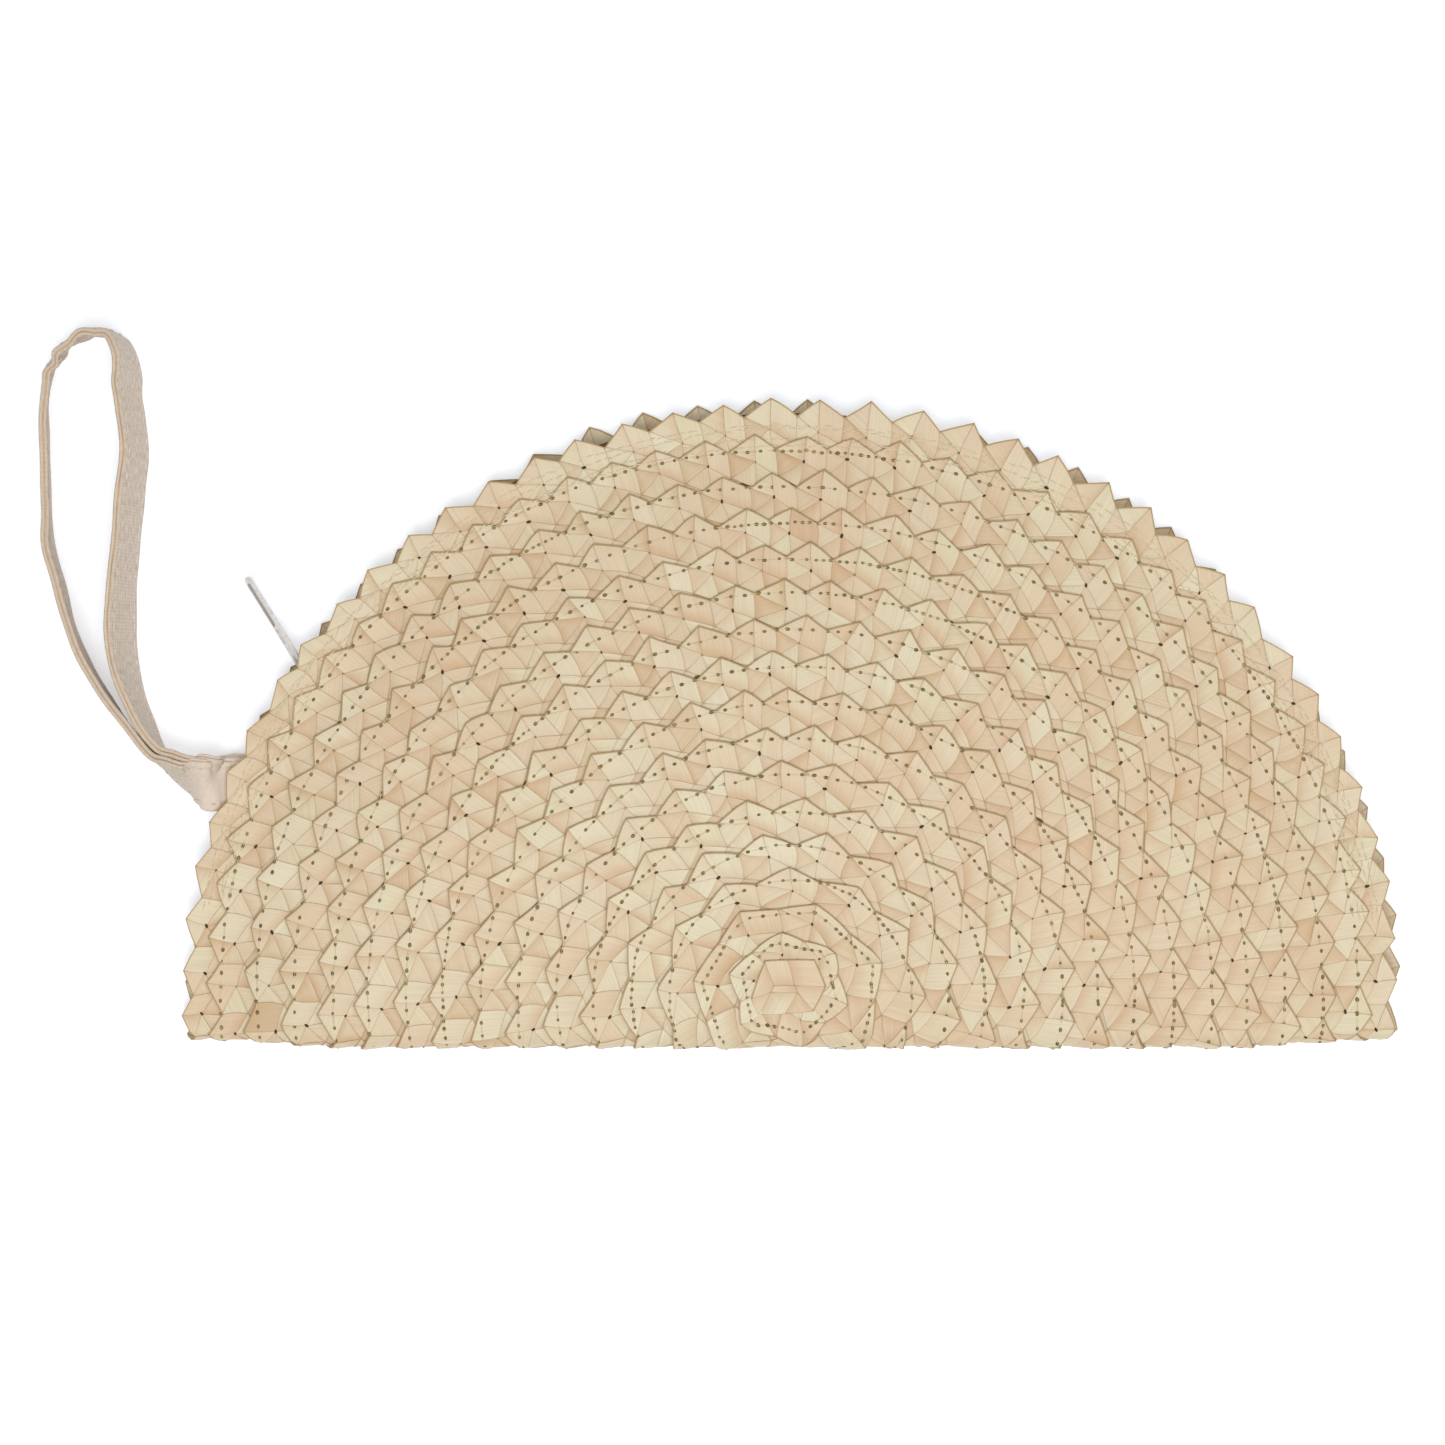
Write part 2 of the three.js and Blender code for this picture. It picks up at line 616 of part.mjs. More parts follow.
// Height of the strap's middle: on the floor where it stands on edge, between the rims where it lies flat
function strapHeight(turn) {
  const flatness = Math.abs(Math.sin(turn));
  const standing = (STRAP_WIDTH / 2) * Math.abs(Math.cos(turn)) + (STRAP_THICKNESS / 2) * flatness;
  const lift = rimThickness / 2 - STRAP_THICKNESS / 2 - CLEARANCE;
  return CLEARANCE + standing + lift * smoothstep(flatness, STRAP_LIFT_START, 1);
}

function strapStations() {
  const seam = rimPlace(degrees(STRAP_SEAM_ANGLE), STRAP_SEAM_INSET);
  const place = (row) =>
    new THREE.Vector3(seam.x + row.across * STRAP_REACH, seam.y + row.up * STRAP_REACH, row.turn);
  const entry = degrees(STRAP_ENTRY_ANGLE);
  const inwards = new THREE.Vector3(Math.cos(entry), Math.sin(entry), 0);
  const across = new THREE.Vector3(-inwards.y, inwards.x, 0);
  const pair = STRAP_THICKNESS + CLEARANCE;

  // The two ends lie face to face, so both are worked out from the line between them
  const middle = STRAP_ENDS.map(place);
  const endWays = middle.map((point, i) => {
    const before = middle[Math.max(i - 1, 0)];
    const after = middle[Math.min(i + 1, middle.length - 1)];
    const way = i === 0 ? inwards.clone().negate() : after.clone().sub(before).setZ(0).normalize();
    const turn = degrees(point.z);
    const right = new THREE.Vector3(way.y, -way.x, 0);
    const upright = new THREE.Vector3(0, 0, 1);
    const width = upright.clone().multiplyScalar(Math.cos(turn)).addScaledVector(right, Math.sin(turn));
    const thick = upright.clone().multiplyScalar(Math.sin(turn)).addScaledVector(right, -Math.cos(turn));
    const centre = new THREE.Vector3(point.x, point.y, strapHeight(turn));
    return { centre, width, thick };
  });
  const leg = (side) =>
    endWays.map(({ centre, thick }, i) => {
      const moved = centre.clone().addScaledVector(thick, (side * pair) / 2);
      return { centre: moved, turn: side * middle[i].z };
    });
  const loop = STRAP_LOOP.map((row) => {
    const point = place(row);
    const centre = new THREE.Vector3(point.x, point.y, strapHeight(degrees(row.turn)));
    return { centre, turn: row.turn };
  });
  const stations = [...leg(1), ...loop, ...leg(-1).reverse()];

  const path = new THREE.CatmullRomCurve3(stations.map((station) => station.centre));
  const turns = new THREE.CatmullRomCurve3(
    stations.map((station, i) => new THREE.Vector3(i, station.turn, 0)),
    false,
    "catmullrom",
    STRAP_TURN_TENSION,
  );
  const swept = [];
  for (let i = 0; i <= STRAP_STEPS; i += 1) {
    const share = i / STRAP_STEPS;
    const centre = path.getPoint(share);
    const way = path.getTangent(share);
    const turn = degrees(turns.getPoint(share).y);
    const right = new THREE.Vector3(way.y, -way.x, 0).normalize();
    const width = new THREE.Vector3(0, 0, Math.cos(turn)).addScaledVector(right, Math.sin(turn));
    swept.push({ centre, width: width.addScaledVector(way, -width.dot(way)).normalize(), way });
  }

  // The tail inside the seam runs in along the lower end and turns back along the upper one
  const upper = swept[0];
  const lower = swept[swept.length - 1];
  const between = upper.centre.clone().add(lower.centre).multiplyScalar(0.5);
  const tail = [];
  for (const turn of [-90, -45, 0, 45, 90]) {
    const bend = degrees(turn);
    const out = STRAP_TAIL + (pair / 2) * Math.cos(bend);
    const centre = between.clone().addScaledVector(inwards, out);
    centre.z += (pair / 2) * Math.sin(bend);
    const way = inwards.clone().multiplyScalar(-Math.sin(bend)).setZ(Math.cos(bend));
    tail.push({ centre, width: across.clone(), way });
  }
  return [...swept, ...tail];
}

function wristStrap() {
  const rings = strapStations().map(({ centre, width, way }) => {
    const thick = new THREE.Vector3().crossVectors(way, width).normalize();
    return strapRing(centre, width, thick);
  });
  return sweptGeometry(rings, true);
}

function material(color, roughness, metalness = 0) {
  return new THREE.MeshStandardMaterial({ color, roughness, metalness });
}

function named(name, geometry, look) {
  const mesh = new THREE.Mesh(geometry, look);
  mesh.name = name;
  return mesh;
}

const leaf = material(LEAF_COLOUR, 0.6);
const tape = material(TAPE_COLOUR, 0.9);
const enamel = material(ENAMEL_COLOUR, 0.35, 0.1);
const canvas = material(CANVAS_COLOUR, 0.9);

const clutch = new THREE.Group();
clutch.add(named("woven_body", wovenBody(), leaf));
clutch.add(named("zip_tape_front", zipTape(1), tape));
clutch.add(named("zip_tape_back", zipTape(-1), tape));
clutch.add(named("zip_chain", zipChain(), enamel));
clutch.add(named("wrist_strap", wristStrap(), canvas));

// The slider sits on the chain, square to it
const sliderAngle = degrees(SLIDER_ANGLE);
const sliderPlace = rimPlace(sliderAngle, ZIP_INSET);
const chainAhead = rimPlace(sliderAngle - degrees(1), ZIP_INSET);
const slider = new THREE.Group();
slider.position.set(sliderPlace.x, sliderPlace.y, chainMiddle(sliderAngle));
slider.rotation.z = Math.atan2(chainAhead.y - sliderPlace.y, chainAhead.x - sliderPlace.x);
slider.add(named("zip_slider", zipSlider(), enamel));
const pivot = new THREE.Group();
pivot.position.y = CLEARANCE + SLIDER_PLATE + PIVOT_HEIGHT;
pivot.rotation.z = degrees(PULL_DIRECTION) - slider.rotation.z;
const pull = named("zip_pull", zipPull(), enamel);
pull.rotation.x = Math.PI / 2 + degrees(PULL_ROLL);
pivot.add(pull);
slider.add(pivot);
clutch.add(slider);

// The origin is where the back rests, on the flat band of a row near the middle of the back
const restRow = restingRow(braidRows());
const restRadius = discRadius(restRow.tip - TOOTH_HEIGHT - ROW_FLAT / 2, -Math.PI / 2);
const restPlace = backPlace(0, -restRadius);
clutch.position.y = -foldedPoint(0, -restPlace.s, 0).y;

export default clutch;
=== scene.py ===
import math

import bmesh
import bpy
import numpy as np
from mathutils import Matrix, Vector


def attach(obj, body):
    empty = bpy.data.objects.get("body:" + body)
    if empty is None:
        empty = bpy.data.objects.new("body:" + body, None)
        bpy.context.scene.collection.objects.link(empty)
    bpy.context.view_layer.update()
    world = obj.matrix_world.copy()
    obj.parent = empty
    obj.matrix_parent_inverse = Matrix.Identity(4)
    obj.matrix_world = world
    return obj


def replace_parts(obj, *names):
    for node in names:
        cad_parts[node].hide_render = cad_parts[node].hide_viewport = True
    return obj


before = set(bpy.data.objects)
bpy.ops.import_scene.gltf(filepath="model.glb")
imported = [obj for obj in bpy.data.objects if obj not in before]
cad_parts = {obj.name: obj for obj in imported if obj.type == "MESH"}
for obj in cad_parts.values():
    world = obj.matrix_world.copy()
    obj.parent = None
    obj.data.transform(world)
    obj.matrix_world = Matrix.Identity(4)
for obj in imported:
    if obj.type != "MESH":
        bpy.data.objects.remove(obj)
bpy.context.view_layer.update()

# The two braided panels
# One long sawtooth braid of pandan leaf strips, wound into a disc, each row lapped over the next and sewn.
# The disc is folded in half below its centre, so front and back are one piece. All sizes are in millimetres,
# until each finished mesh is scaled to metres.
MM = 0.001
RIM_RADIUS = 153.8  # flat, from the disc's centre to the tips of the teeth
RIM_ROW_WIDTH = 7.7
ROW_PITCH = 9.33
CENTRE_RADIUS = 12
BRAID_WIDTH = 12.7
TOOTH_PITCH = 11.64  # along the braid's inner edge
FEWEST_TEETH = 6
RIM_FIRST_TOOTH = 1.9  # degrees
TOOTH_STAGGER = 0.382
LEAF_WALL = 1.2
ROW_STEP = 0.9
RIM_SHAPE = ((1, 0.0042), (2, 0.0055), (3, -0.0042))  # waves round the disc, and their share of the radius
ROW_SHAPE = ((2, 0.018),)
CENTRE_HEIGHT = 13  # disc's centre above the folded edge
FOLD_THICKNESS = 10
TIP_THICKNESS = 6
MIDDLE_THICKNESS = 17.5
DOME_RUN = 72
FOLD_RUN = 58
TIP_START, TIP_END, TIP_LOW, TIP_HIGH = 0.72, 0.97, 12, 42
BACK_BULGES = ((109, 2.3, 15), (8, 2, 13))  # degrees, reach and spread
BULGE_FALL = 6
ZIP_INSET = 8.4
CHAIN_WIDTH = 4.2
TAPE_WIDTH = 11
TAPE_THICKNESS = 0.6
CLEARANCE = 0.3
FOLDED_EDGE_Y = -94.05  # the folded edge in the shared frame
WALL = LEAF_WALL + ROW_STEP
BEND_LENGTH = math.pi / 2 * (FOLD_THICKNESS / 2 - ROW_STEP)
FOLD_TO_CENTRE = CENTRE_HEIGHT - FOLD_THICKNESS / 2 + BEND_LENGTH
RIM_THICKNESS = CHAIN_WIDTH + 2 * TAPE_THICKNESS + 2 * WALL + 4 * CLEARANCE


def smoothstep(value, low, high):
    share = np.clip((value - low) / (high - low), 0, 1)
    return share * share * (3 - 2 * share)


def shape_at(waves, angle):
    return 1 + sum(share * np.cos(count * angle) for count, share in waves)


def disc_radius(radius, angle):
    rim = np.clip((radius - RIM_RADIUS + RIM_ROW_WIDTH) / RIM_ROW_WIDTH, 0, 1)
    return radius * (shape_at(ROW_SHAPE, angle) * (1 - rim) + shape_at(RIM_SHAPE, angle) * rim)


def thickness_at(x, s):
    """Thickness of the bag at x along the fold and s from it, measured on the panel."""
    near_tip = smoothstep(np.abs(x) / RIM_RADIUS, TIP_START, TIP_END)
    tip = near_tip * (1 - smoothstep(s, TIP_LOW, TIP_HIGH))
    folded = 1 - smoothstep(s, BEND_LENGTH, FOLD_RUN)
    edge = RIM_THICKNESS + (FOLD_THICKNESS - RIM_THICKNESS) * folded
    edge = edge + (TIP_THICKNESS - edge) * tip
    centre = s - FOLD_TO_CENTRE
    from_seam = RIM_RADIUS * shape_at(RIM_SHAPE, np.arctan2(centre, x)) - np.hypot(x, centre)
    inwards = np.clip((from_seam - ZIP_INSET - TAPE_WIDTH / 2) / DOME_RUN, 0, 1)
    upwards = np.clip((s - BEND_LENGTH) / FOLD_RUN, 0, 1)
    dome = inwards * (2 - inwards) * upwards * (2 - upwards)
    return edge + (MIDDLE_THICKNESS - edge) * dome


def back_place(x, y):
    """Where a point of the smaller part of the disc lies, eased out until it has the front's outline."""
    rim_below = disc_radius(RIM_RADIUS, -math.pi / 2)
    stretch = (rim_below + FOLD_TO_CENTRE) / (rim_below - FOLD_TO_CENTRE)
    radius = np.maximum(np.hypot(x, y), FOLD_TO_CENTRE + 1e-4)
    reach = np.sqrt(radius**2 - FOLD_TO_CENTRE**2)
    height = stretch * (radius - FOLD_TO_CENTRE)
    arc_radius = (reach**2 + height**2) / (2 * height)
    arc_centre = height - arc_radius
    widest = np.arccos(FOLD_TO_CENTRE / radius)
    turn = np.arctan2(x, -y) * np.arccos(np.clip(-arc_centre / arc_radius, -1, 1)) / widest
    placed_x = arc_radius * np.sin(turn)
    placed_s = arc_centre + arc_radius * np.cos(turn)
    angle = np.degrees(np.arctan2(placed_s - FOLD_TO_CENTRE, placed_x))
    for middle, reach_out, spread in BACK_BULGES:
        push = reach_out * np.exp(-(((angle - middle) / spread) ** 2)) * (radius / RIM_RADIUS) ** BULGE_FALL
        placed_x = placed_x + push * math.cos(math.radians(middle))
        placed_s = placed_s + push * math.sin(math.radians(middle))
    return placed_x, placed_s


def folded_point(x, s, offset):
    """A point of the open panels in the folded bag, offset outwards from the panel's base face."""
    distance = np.abs(s)
    axis_y = FOLD_THICKNESS / 2
    half = thickness_at(x, 0 * x) / 2
    turn = math.pi / 2 * s / BEND_LENGTH
    radius = half - ROW_STEP + offset
    flat_z = np.where(s < 0, ROW_STEP - offset, thickness_at(x, distance) - ROW_STEP + offset)
    bent = distance < BEND_LENGTH
    y = np.where(bent, axis_y - radius * np.cos(turn), axis_y + distance - BEND_LENGTH)
    z = np.where(bent, half + radius * np.sin(turn), flat_z)
    return np.stack([x, y + FOLDED_EDGE_Y, z], axis=-1)


def disc_point(radius, angle, offset):
    """A point of the flat disc in the folded bag."""
    real = disc_radius(radius, angle)
    x = real * np.cos(angle)
    y = real * np.sin(angle)
    s = y + FOLD_TO_CENTRE
    back_x, back_s = back_place(x, np.where(s < 0, y, -FOLD_TO_CENTRE - 1))
    return folded_point(np.where(s < 0, back_x, x), np.where(s < 0, -back_s, s), offset)


# Each tooth of the braid is six facets of crossing leaf strips on a lattice of triangles
HALF_TOOTH = 6.0
LATTICE = {
    "peak": (0, 0),
    "left": (-HALF_TOOTH, 3.8),
    "right": (HALF_TOOTH, 3.8),
    "hole": (0, 7.1),
    "low_left": (-HALF_TOOTH, 10.7),
    "low_right": (HALF_TOOTH, 10.7),
    "foot": (0, 13.6),
    "next_foot": (2 * HALF_TOOTH, 13.6),
    "bottom": (HALF_TOOTH, 16.6),
}
DOWN_RIGHT, UP_RIGHT, RADIAL = (0.87, 0.49), (0.86, -0.51), (0, 1)
FACETS = (
    (("left", "peak", "hole"), ("fold", "under", "over"), DOWN_RIGHT),
    (("peak", "right", "low_right", "hole"), ("fold", "over", "under", "over"), RADIAL),
    (("left", "hole", "low_left"), ("under", "over", "under"), UP_RIGHT),
    (("hole", "foot", "low_left"), ("over", "over", "under"), RADIAL),
    (("hole", "low_right", "foot"), ("over", "over", "under"), DOWN_RIGHT),
    (("foot", "low_right", "next_foot", "bottom"), ("under", "under", "over", "over"), UP_RIGHT),
)
EDGE_HEIGHT = {"over": 0.0, "under": -0.26, "fold": 0.02}
EDGE_BULGE = {"over": 0.06, "under": 0.55, "fold": 0.05}
EDGE_SOFTNESS, EDGE_PULL = 0.12, 1.6  # how far each edge's height reaches into the facet
EDGE_PARTS = 3
INSETS = (0.3, 0.85)
HOLE_GAPS = (0.05, 0.07, 0.09, 0.12)  # one kind of tooth for each
SKIRT = {"over": 0.4, "under": 0.4, "fold": 1.0}
CROWN = 0.09
FOLD_ROUNDING = 0.16
FAR = 9.0  # mm, for a strip without such an edge
LINE_REACH = 1.5  # mm from an edge or a fold over which its distance is kept for the material
UNDER_SHADE_REACH = 2.0  # mm from the edge where a strip goes under another, over which it is painted darker and browner: painted shade
UNDER_SHADE_MOST = 0.7
UNDER_SHADE_RARITY = 1.6  # the more, the fewer strips get much painted shade at their under edges
# The brownest strips of the front: X and Y in mm, and how brown
BROWN_STRIPS = (
    (-133, -86, 0.65), (3, 40, 0.45), (-98, -12, 0.3), (-2, -8, 0.3), (-131, -12, 0.35), (-79, -83, 0.35),
    (-71, -55, 0.35), (-50, -21, 0.35), (-28, -11, 0.35), (-27, -54, 0.35), (23, -10, 0.35),
    (47, 52, 0.35), (48, -21, 0.35), (51, 42, 0.35),
)
BROWN_REACH = 3.6  # mm from the middle of a strip's showing part
HAND_SCATTER = (0.42, 0.55, 0.05)  # mm that crossings are out of place: across the row, along it and up
RIM_SCATTER = 0.6  # share of that across the rim's tips
SCATTER_RADIUS = 14  # mm from the centre within which crossings turn no further out of place
LEAST_RADIUS = 0.3
LOWEST_LAP = -0.6  # where a row's inner edge lies under the next row
TONE_SCATTER = 0.06  # of one showing part of a strip
GRAIN_LENGTH = 90  # mm of leaf that each showing part's veins are taken from
LINING_GAP = 0.75  # mm between the rim's two faces
PEAK_LEAN = 0.5  # mm that a tooth's tip leans along the row
TOOTH_MIDDLE = 5  # mm in from its tip
POLYGON_ROWS = 30  # rows with tips nearer the centre than this have straight sides
CENTRE_DRIFT = (-0.4, 4.0)  # how far the braid starts from the disc's centre
DRIFT_REACH = 28


def edge_distances(points, corners):
    """Distance of each point from each edge of a facet."""
    found = []
    for a, b in zip(corners, np.roll(corners, -1, axis=0)):
        along = (b - a) / np.linalg.norm(b - a)
        share = np.clip((points - a) @ along, 0, np.linalg.norm(b - a))
        found.append(np.linalg.norm(points - a - share[:, None] * along, axis=1))
    return np.array(found)


def leaf_patch(lattice, facets, hole_gap=0):
    """Facets of crossing strips as a mesh over a lattice, and what each of its points is."""
    bm = bmesh.new()
    facet_of = bm.verts.layers.int.new("facet")
    for index, (names, kinds, _way) in enumerate(facets):
        corners = np.array([lattice[name] for name in names])
        middle = corners.mean(axis=0)
        outline = []
        for k, kind in enumerate(kinds):
            a, b = corners[k], corners[(k + 1) % len(kinds)]
            outward = np.array([(b - a)[1], -(b - a)[0]]) / np.linalg.norm(b - a)
            for part in range(EDGE_PARTS):
                share = part / EDGE_PARTS
                point = a + (b - a) * share + outward * EDGE_BULGE[kind] * math.sin(math.pi * share)
                if part == 0 and names[k] == "hole":
                    point = point + (middle - point) / np.linalg.norm(middle - point) * hole_gap
                outline.append(point)
        verts = [bm.verts.new((x, y, 0)) for x, y in outline]
        face = bm.faces.new(verts)
        for thickness in INSETS:
            settings = {"thickness": thickness, "use_even_offset": True, "use_boundary": True}
            bmesh.ops.inset_region(bm, faces=[face], **settings)
        bmesh.ops.poke(bm, faces=[face])
        rim = [e for e in bm.edges if len(e.link_faces) == 1 and all(v[facet_of] == 0 for v in e.verts)]
        rim = [e for e in rim if all(v in set(verts) for v in e.verts)]
        skirt = bmesh.ops.extrude_edge_only(bm, edges=rim)
        for v in skirt["geom"]:
            if isinstance(v, bmesh.types.BMVert):
                v.co.z = -1
        for v in bm.verts:
            if v[facet_of] == 0:
                v[facet_of] = index + 1
    bm.verts.index_update()
    flat = np.array([v.co for v in bm.verts])
    facet = np.array([v[facet_of] - 1 for v in bm.verts])
    edge = np.zeros(len(flat))
    fold = np.full(len(flat), FAR)
    under_shade_and_brown = np.zeros(len(flat))
    grain = np.zeros((len(flat), 2))
    height = np.zeros(len(flat))
    for index, (names, kinds, way) in enumerate(facets):
        mine = facet == index
        corners = np.array([lattice[name] for name in names])
        points = flat[mine, :2]
        distances = edge_distances(points, corners)
        weights = 1 / (distances + EDGE_SOFTNESS) ** EDGE_PULL
        levels = np.array([EDGE_HEIGHT[kind] for kind in kinds])[:, None]
        nearest = distances.min(axis=0)
        lifted = (weights * levels).sum(axis=0) / weights.sum(axis=0) + CROWN * (1 - np.exp(-nearest))
        folds = [distances[k] for k, kind in enumerate(kinds) if kind == "fold"]
        if folds:
            fold[mine] = np.min(folds, axis=0)
            lifted = lifted - FOLD_ROUNDING * np.clip(1 - fold[mine] / INSETS[0], 0, 1)
        unders = [distances[k] for k, kind in enumerate(kinds) if kind == "under"]
        under = np.min(unders or [distances[0] + FAR], axis=0)
        # Painted shade: darker and browner near the edges where this strip goes under another
        under_shade_and_brown[mine] = np.exp(-((under / UNDER_SHADE_REACH) ** 1.5))
        depth = np.array([SKIRT[kinds[k]] for k in distances.argmin(axis=0)])
        lifted = np.where(flat[mine, 2] < -0.5, lifted - depth, lifted)
        height[mine] = lifted
        edge[mine] = nearest
        across = np.array([-way[1], way[0]])
        grain[mine] = np.stack([points @ across, points @ np.array(way)], axis=-1) / np.linalg.norm(way)
    bmesh.ops.reverse_faces(bm, faces=bm.faces[:])
    mesh = bpy.data.meshes.new("leaf_patch")
    bm.to_mesh(mesh)
    bm.free()
    points = {"flat": flat[:, :2], "height": height, "facet": facet, "edge": edge}
    return mesh, points | {"fold": fold, "grain": grain, "under_shade_and_brown": under_shade_and_brown}


def tooth_of_braid(kind_index, draw):
    """One kind of tooth: its mesh, its points and the place of its open corner."""
    lattice = {name: np.array(place, float) for name, place in LATTICE.items()}
    lattice["peak"] = lattice["peak"] + (PEAK_LEAN * (1 + draw.normal(0, 1.1)), 0.25)
    lattice["hole"] = lattice["hole"] + draw.normal(0, 0.35, 2)
    return *leaf_patch(lattice, FACETS, HOLE_GAPS[kind_index]), lattice["hole"]


def drifted(radius, angle):
    """The first rows were wound round a place above the disc's centre, and the later ones even that out."""
    inner = np.exp(-((radius / DRIFT_REACH) ** 2))
    x = radius * np.cos(angle) + CENTRE_DRIFT[0] * inner
    y = radius * np.sin(angle) + CENTRE_DRIFT[1] * inner
    return np.hypot(x, y), np.arctan2(y, x)


class BraidRow:
    """One row of teeth. Hand work: each tooth and each crossing is a little out of its place."""

    def __init__(self, index, tip, draw):
        self.tip = tip
        self.teeth = max(FEWEST_TEETH, round(2 * math.pi * (tip - BRAID_WIDTH) / TOOTH_PITCH))
        self.turn = math.radians(RIM_FIRST_TOOTH) + index * TOOTH_STAGGER * 2 * math.pi / self.teeth
        self.across, self.aside, self.lift = (draw.normal(0, mm, (3, 2 * self.teeth)) for mm in HAND_SCATTER)
        self.kind = draw.integers(len(HOLE_GAPS), size=self.teeth)
        side = tip * (1 - math.cos(math.pi / self.teeth)) / LATTICE["left"][1]
        self.straightening = side if tip < POLYGON_ROWS else 1
        self.tone = draw.random(self.teeth)
        self.blush = draw.random(self.teeth)
        if index == 0:
            self.across[0] *= RIM_SCATTER

    def level(self, values, place, v):
        """A value between those at the lattice's points, along the row and across it."""
        low = np.floor(place).astype(int)
        share = place - low
        left, right = low % (2 * self.teeth), (low + 1) % (2 * self.teeth)
        depth = np.clip(v / LATTICE["hole"][1], 0, 1.999)
        tier = np.floor(depth).astype(int)
        upper, lower = (
            values[k, left] * (1 - share) + values[k, right] * share for k in (tier, tier + 1)
        )
        return upper + (lower - upper) * (depth - tier)

    def point(self, tooth, u, v, height):
        """A point of the tooth: u from its middle, v in from its tip, and its height over the row."""
        place = 2 * tooth + u / HALF_TOOTH
        aside = self.level(self.aside, place, v)
        in_tooth = np.clip(v, 0, LATTICE["left"][1])
        v = v - (1 - self.straightening) * in_tooth * np.clip((BRAID_WIDTH - v) / BRAID_WIDTH, 0, 1)
        in_row = v + self.level(self.across, place, v)
        radius = np.maximum(self.tip - in_row, LEAST_RADIUS)
        shingle = ROW_STEP * (1 - in_row / ROW_PITCH)
        offset = np.maximum(shingle, LOWEST_LAP) + height + self.level(self.lift, place, v)

        # Edges are straight from one column of the lattice to the next
        half_tooth = math.pi / self.teeth
        share = place - np.floor(place)
        start = self.turn - np.floor(place) * half_tooth - aside / np.maximum(radius, SCATTER_RADIUS)
        x = radius * ((1 - share) * np.cos(start) + share * np.cos(start - half_tooth))
        y = radius * ((1 - share) * np.sin(start) + share * np.sin(start - half_tooth))
        return disc_point(*drifted(np.hypot(x, y), np.arctan2(y, x)), offset)


def braid_rows():
    draw = np.random.default_rng(11)
    rows, tip = [], RIM_RADIUS
    while tip > CENTRE_RADIUS:
        rows.append(BraidRow(len(rows), tip, draw))
        tip -= RIM_ROW_WIDTH if len(rows) == 1 else ROW_PITCH
    return rows


rows = braid_rows()
kind_draw = np.random.default_rng(5)
kinds_of_tooth = [tooth_of_braid(kind, kind_draw) for kind in range(len(HOLE_GAPS))]
STRIP_OF_FACET = np.array([0, 1, 2, 4, 5, 3])  # strips pass from tooth to tooth, so their colours do too

# The braid begins with a patch that has six sides. X is to the right and Y down, from the patch's middle.
MIDDLE_LATTICE = {
    "left_up": (-6.2, -6.8),
    "up": (-0.3, -7.0),
    "right_up": (6.6, -7.1),
    "right": (9.3, 0),
    "right_down": (6.2, 6.3),
    "down": (-1.0, 7.2),
    "left_down": (-7.6, 7.1),
    "left": (-9.4, 3.0),
    "crossing_1": (-3.8, 0.1),
    "crossing_2": (1.5, 0),
    "crossing_3": (2.3, 1.8),
    "crossing_4": (-4.3, 1.7),
}
MIDDLE_FACETS = (
    (("left_up", "up", "crossing_2", "crossing_1"), ("fold", "over", "under", "over"), (0.25, 1)),
    (("up", "right_up", "right", "crossing_2"), ("fold", "fold", "over", "under"), (1, 0.05)),
    (("left", "left_up", "crossing_1", "crossing_4"), ("fold", "under", "under", "over"), (0.5, -0.87)),
    (("crossing_1", "crossing_2", "crossing_3", "crossing_4"), ("over", "under", "over", "over"), (1, 0)),
    (("left", "crossing_4", "left_down"), ("under", "over", "over"), (0.5, 0.87)),
    (("crossing_4", "crossing_3", "down", "left_down"), ("under", "over", "over", "under"), (0.45, -0.9)),
    (("crossing_2", "right", "right_down", "crossing_3"), ("under", "fold", "over", "over"), (1, 0.1)),
    (("crossing_3", "right_down", "down"), ("under", "over", "under"), (0.4, 0.9)),
)
MIDDLE_TONES = np.array([0.3, 0.2, 0.35, 0.1, 0.6, 0.9, 0.45, 0.3])
MIDDLE_SINK = 0.35  # mm from its rim to its middle
MIDDLE_FALL = 0.055  # how much lower it lies for each mm down, where it blends into the row below it
MIDDLE_UNDER_SHADE = 0.5
LEAF_CREASE = 48  # degrees over which two faces meet in a sharp edge


def above_fold(radius, angle):
    return disc_radius(radius, angle) * np.sin(angle) + FOLD_TO_CENTRE >= 0


def is_on_front(row, index):
    return above_fold(*drifted(row.tip - TOOTH_MIDDLE, row.turn - index * 2 * math.pi / row.teeth))


def made_object(name, bm, points=None):
    """The finished mesh as a smooth object at the origin. The points are in millimetres."""
    mesh = bpy.data.meshes.new(name)
    bm.to_mesh(mesh)
    bm.free()
    if points is not None:
        mesh.vertices.foreach_set("co", (points * MM).astype(np.float32).ravel())
    mesh.polygons.foreach_set("use_smooth", np.ones(len(mesh.polygons), bool))
    mesh.update()
    made = bpy.data.objects.new(name, mesh)
    bpy.context.scene.collection.objects.link(made)
    return made


def leaf_channels(tone, blush, patch):
    """What the leaf's material reads at each point: tone, blush, and how near an edge and a fold are."""
    near = [np.clip(patch[line] / LINE_REACH, 0, 1) for line in ("edge", "fold")]
    return np.stack([np.clip(tone, 0, 1), blush, *near], axis=-1)


def browned(points, facet):
    """How brown each point is, because its strip is one of the few brown ones."""
    brown = np.zeros(len(points))
    for k in range(len(FACETS)):
        mine = facet == k
        middle = points[mine, :2].mean(axis=0)
        for x, y, strength in BROWN_STRIPS:
            if np.hypot(*(middle - (x, y))) < BROWN_REACH:
                brown[mine] = strength
    return brown


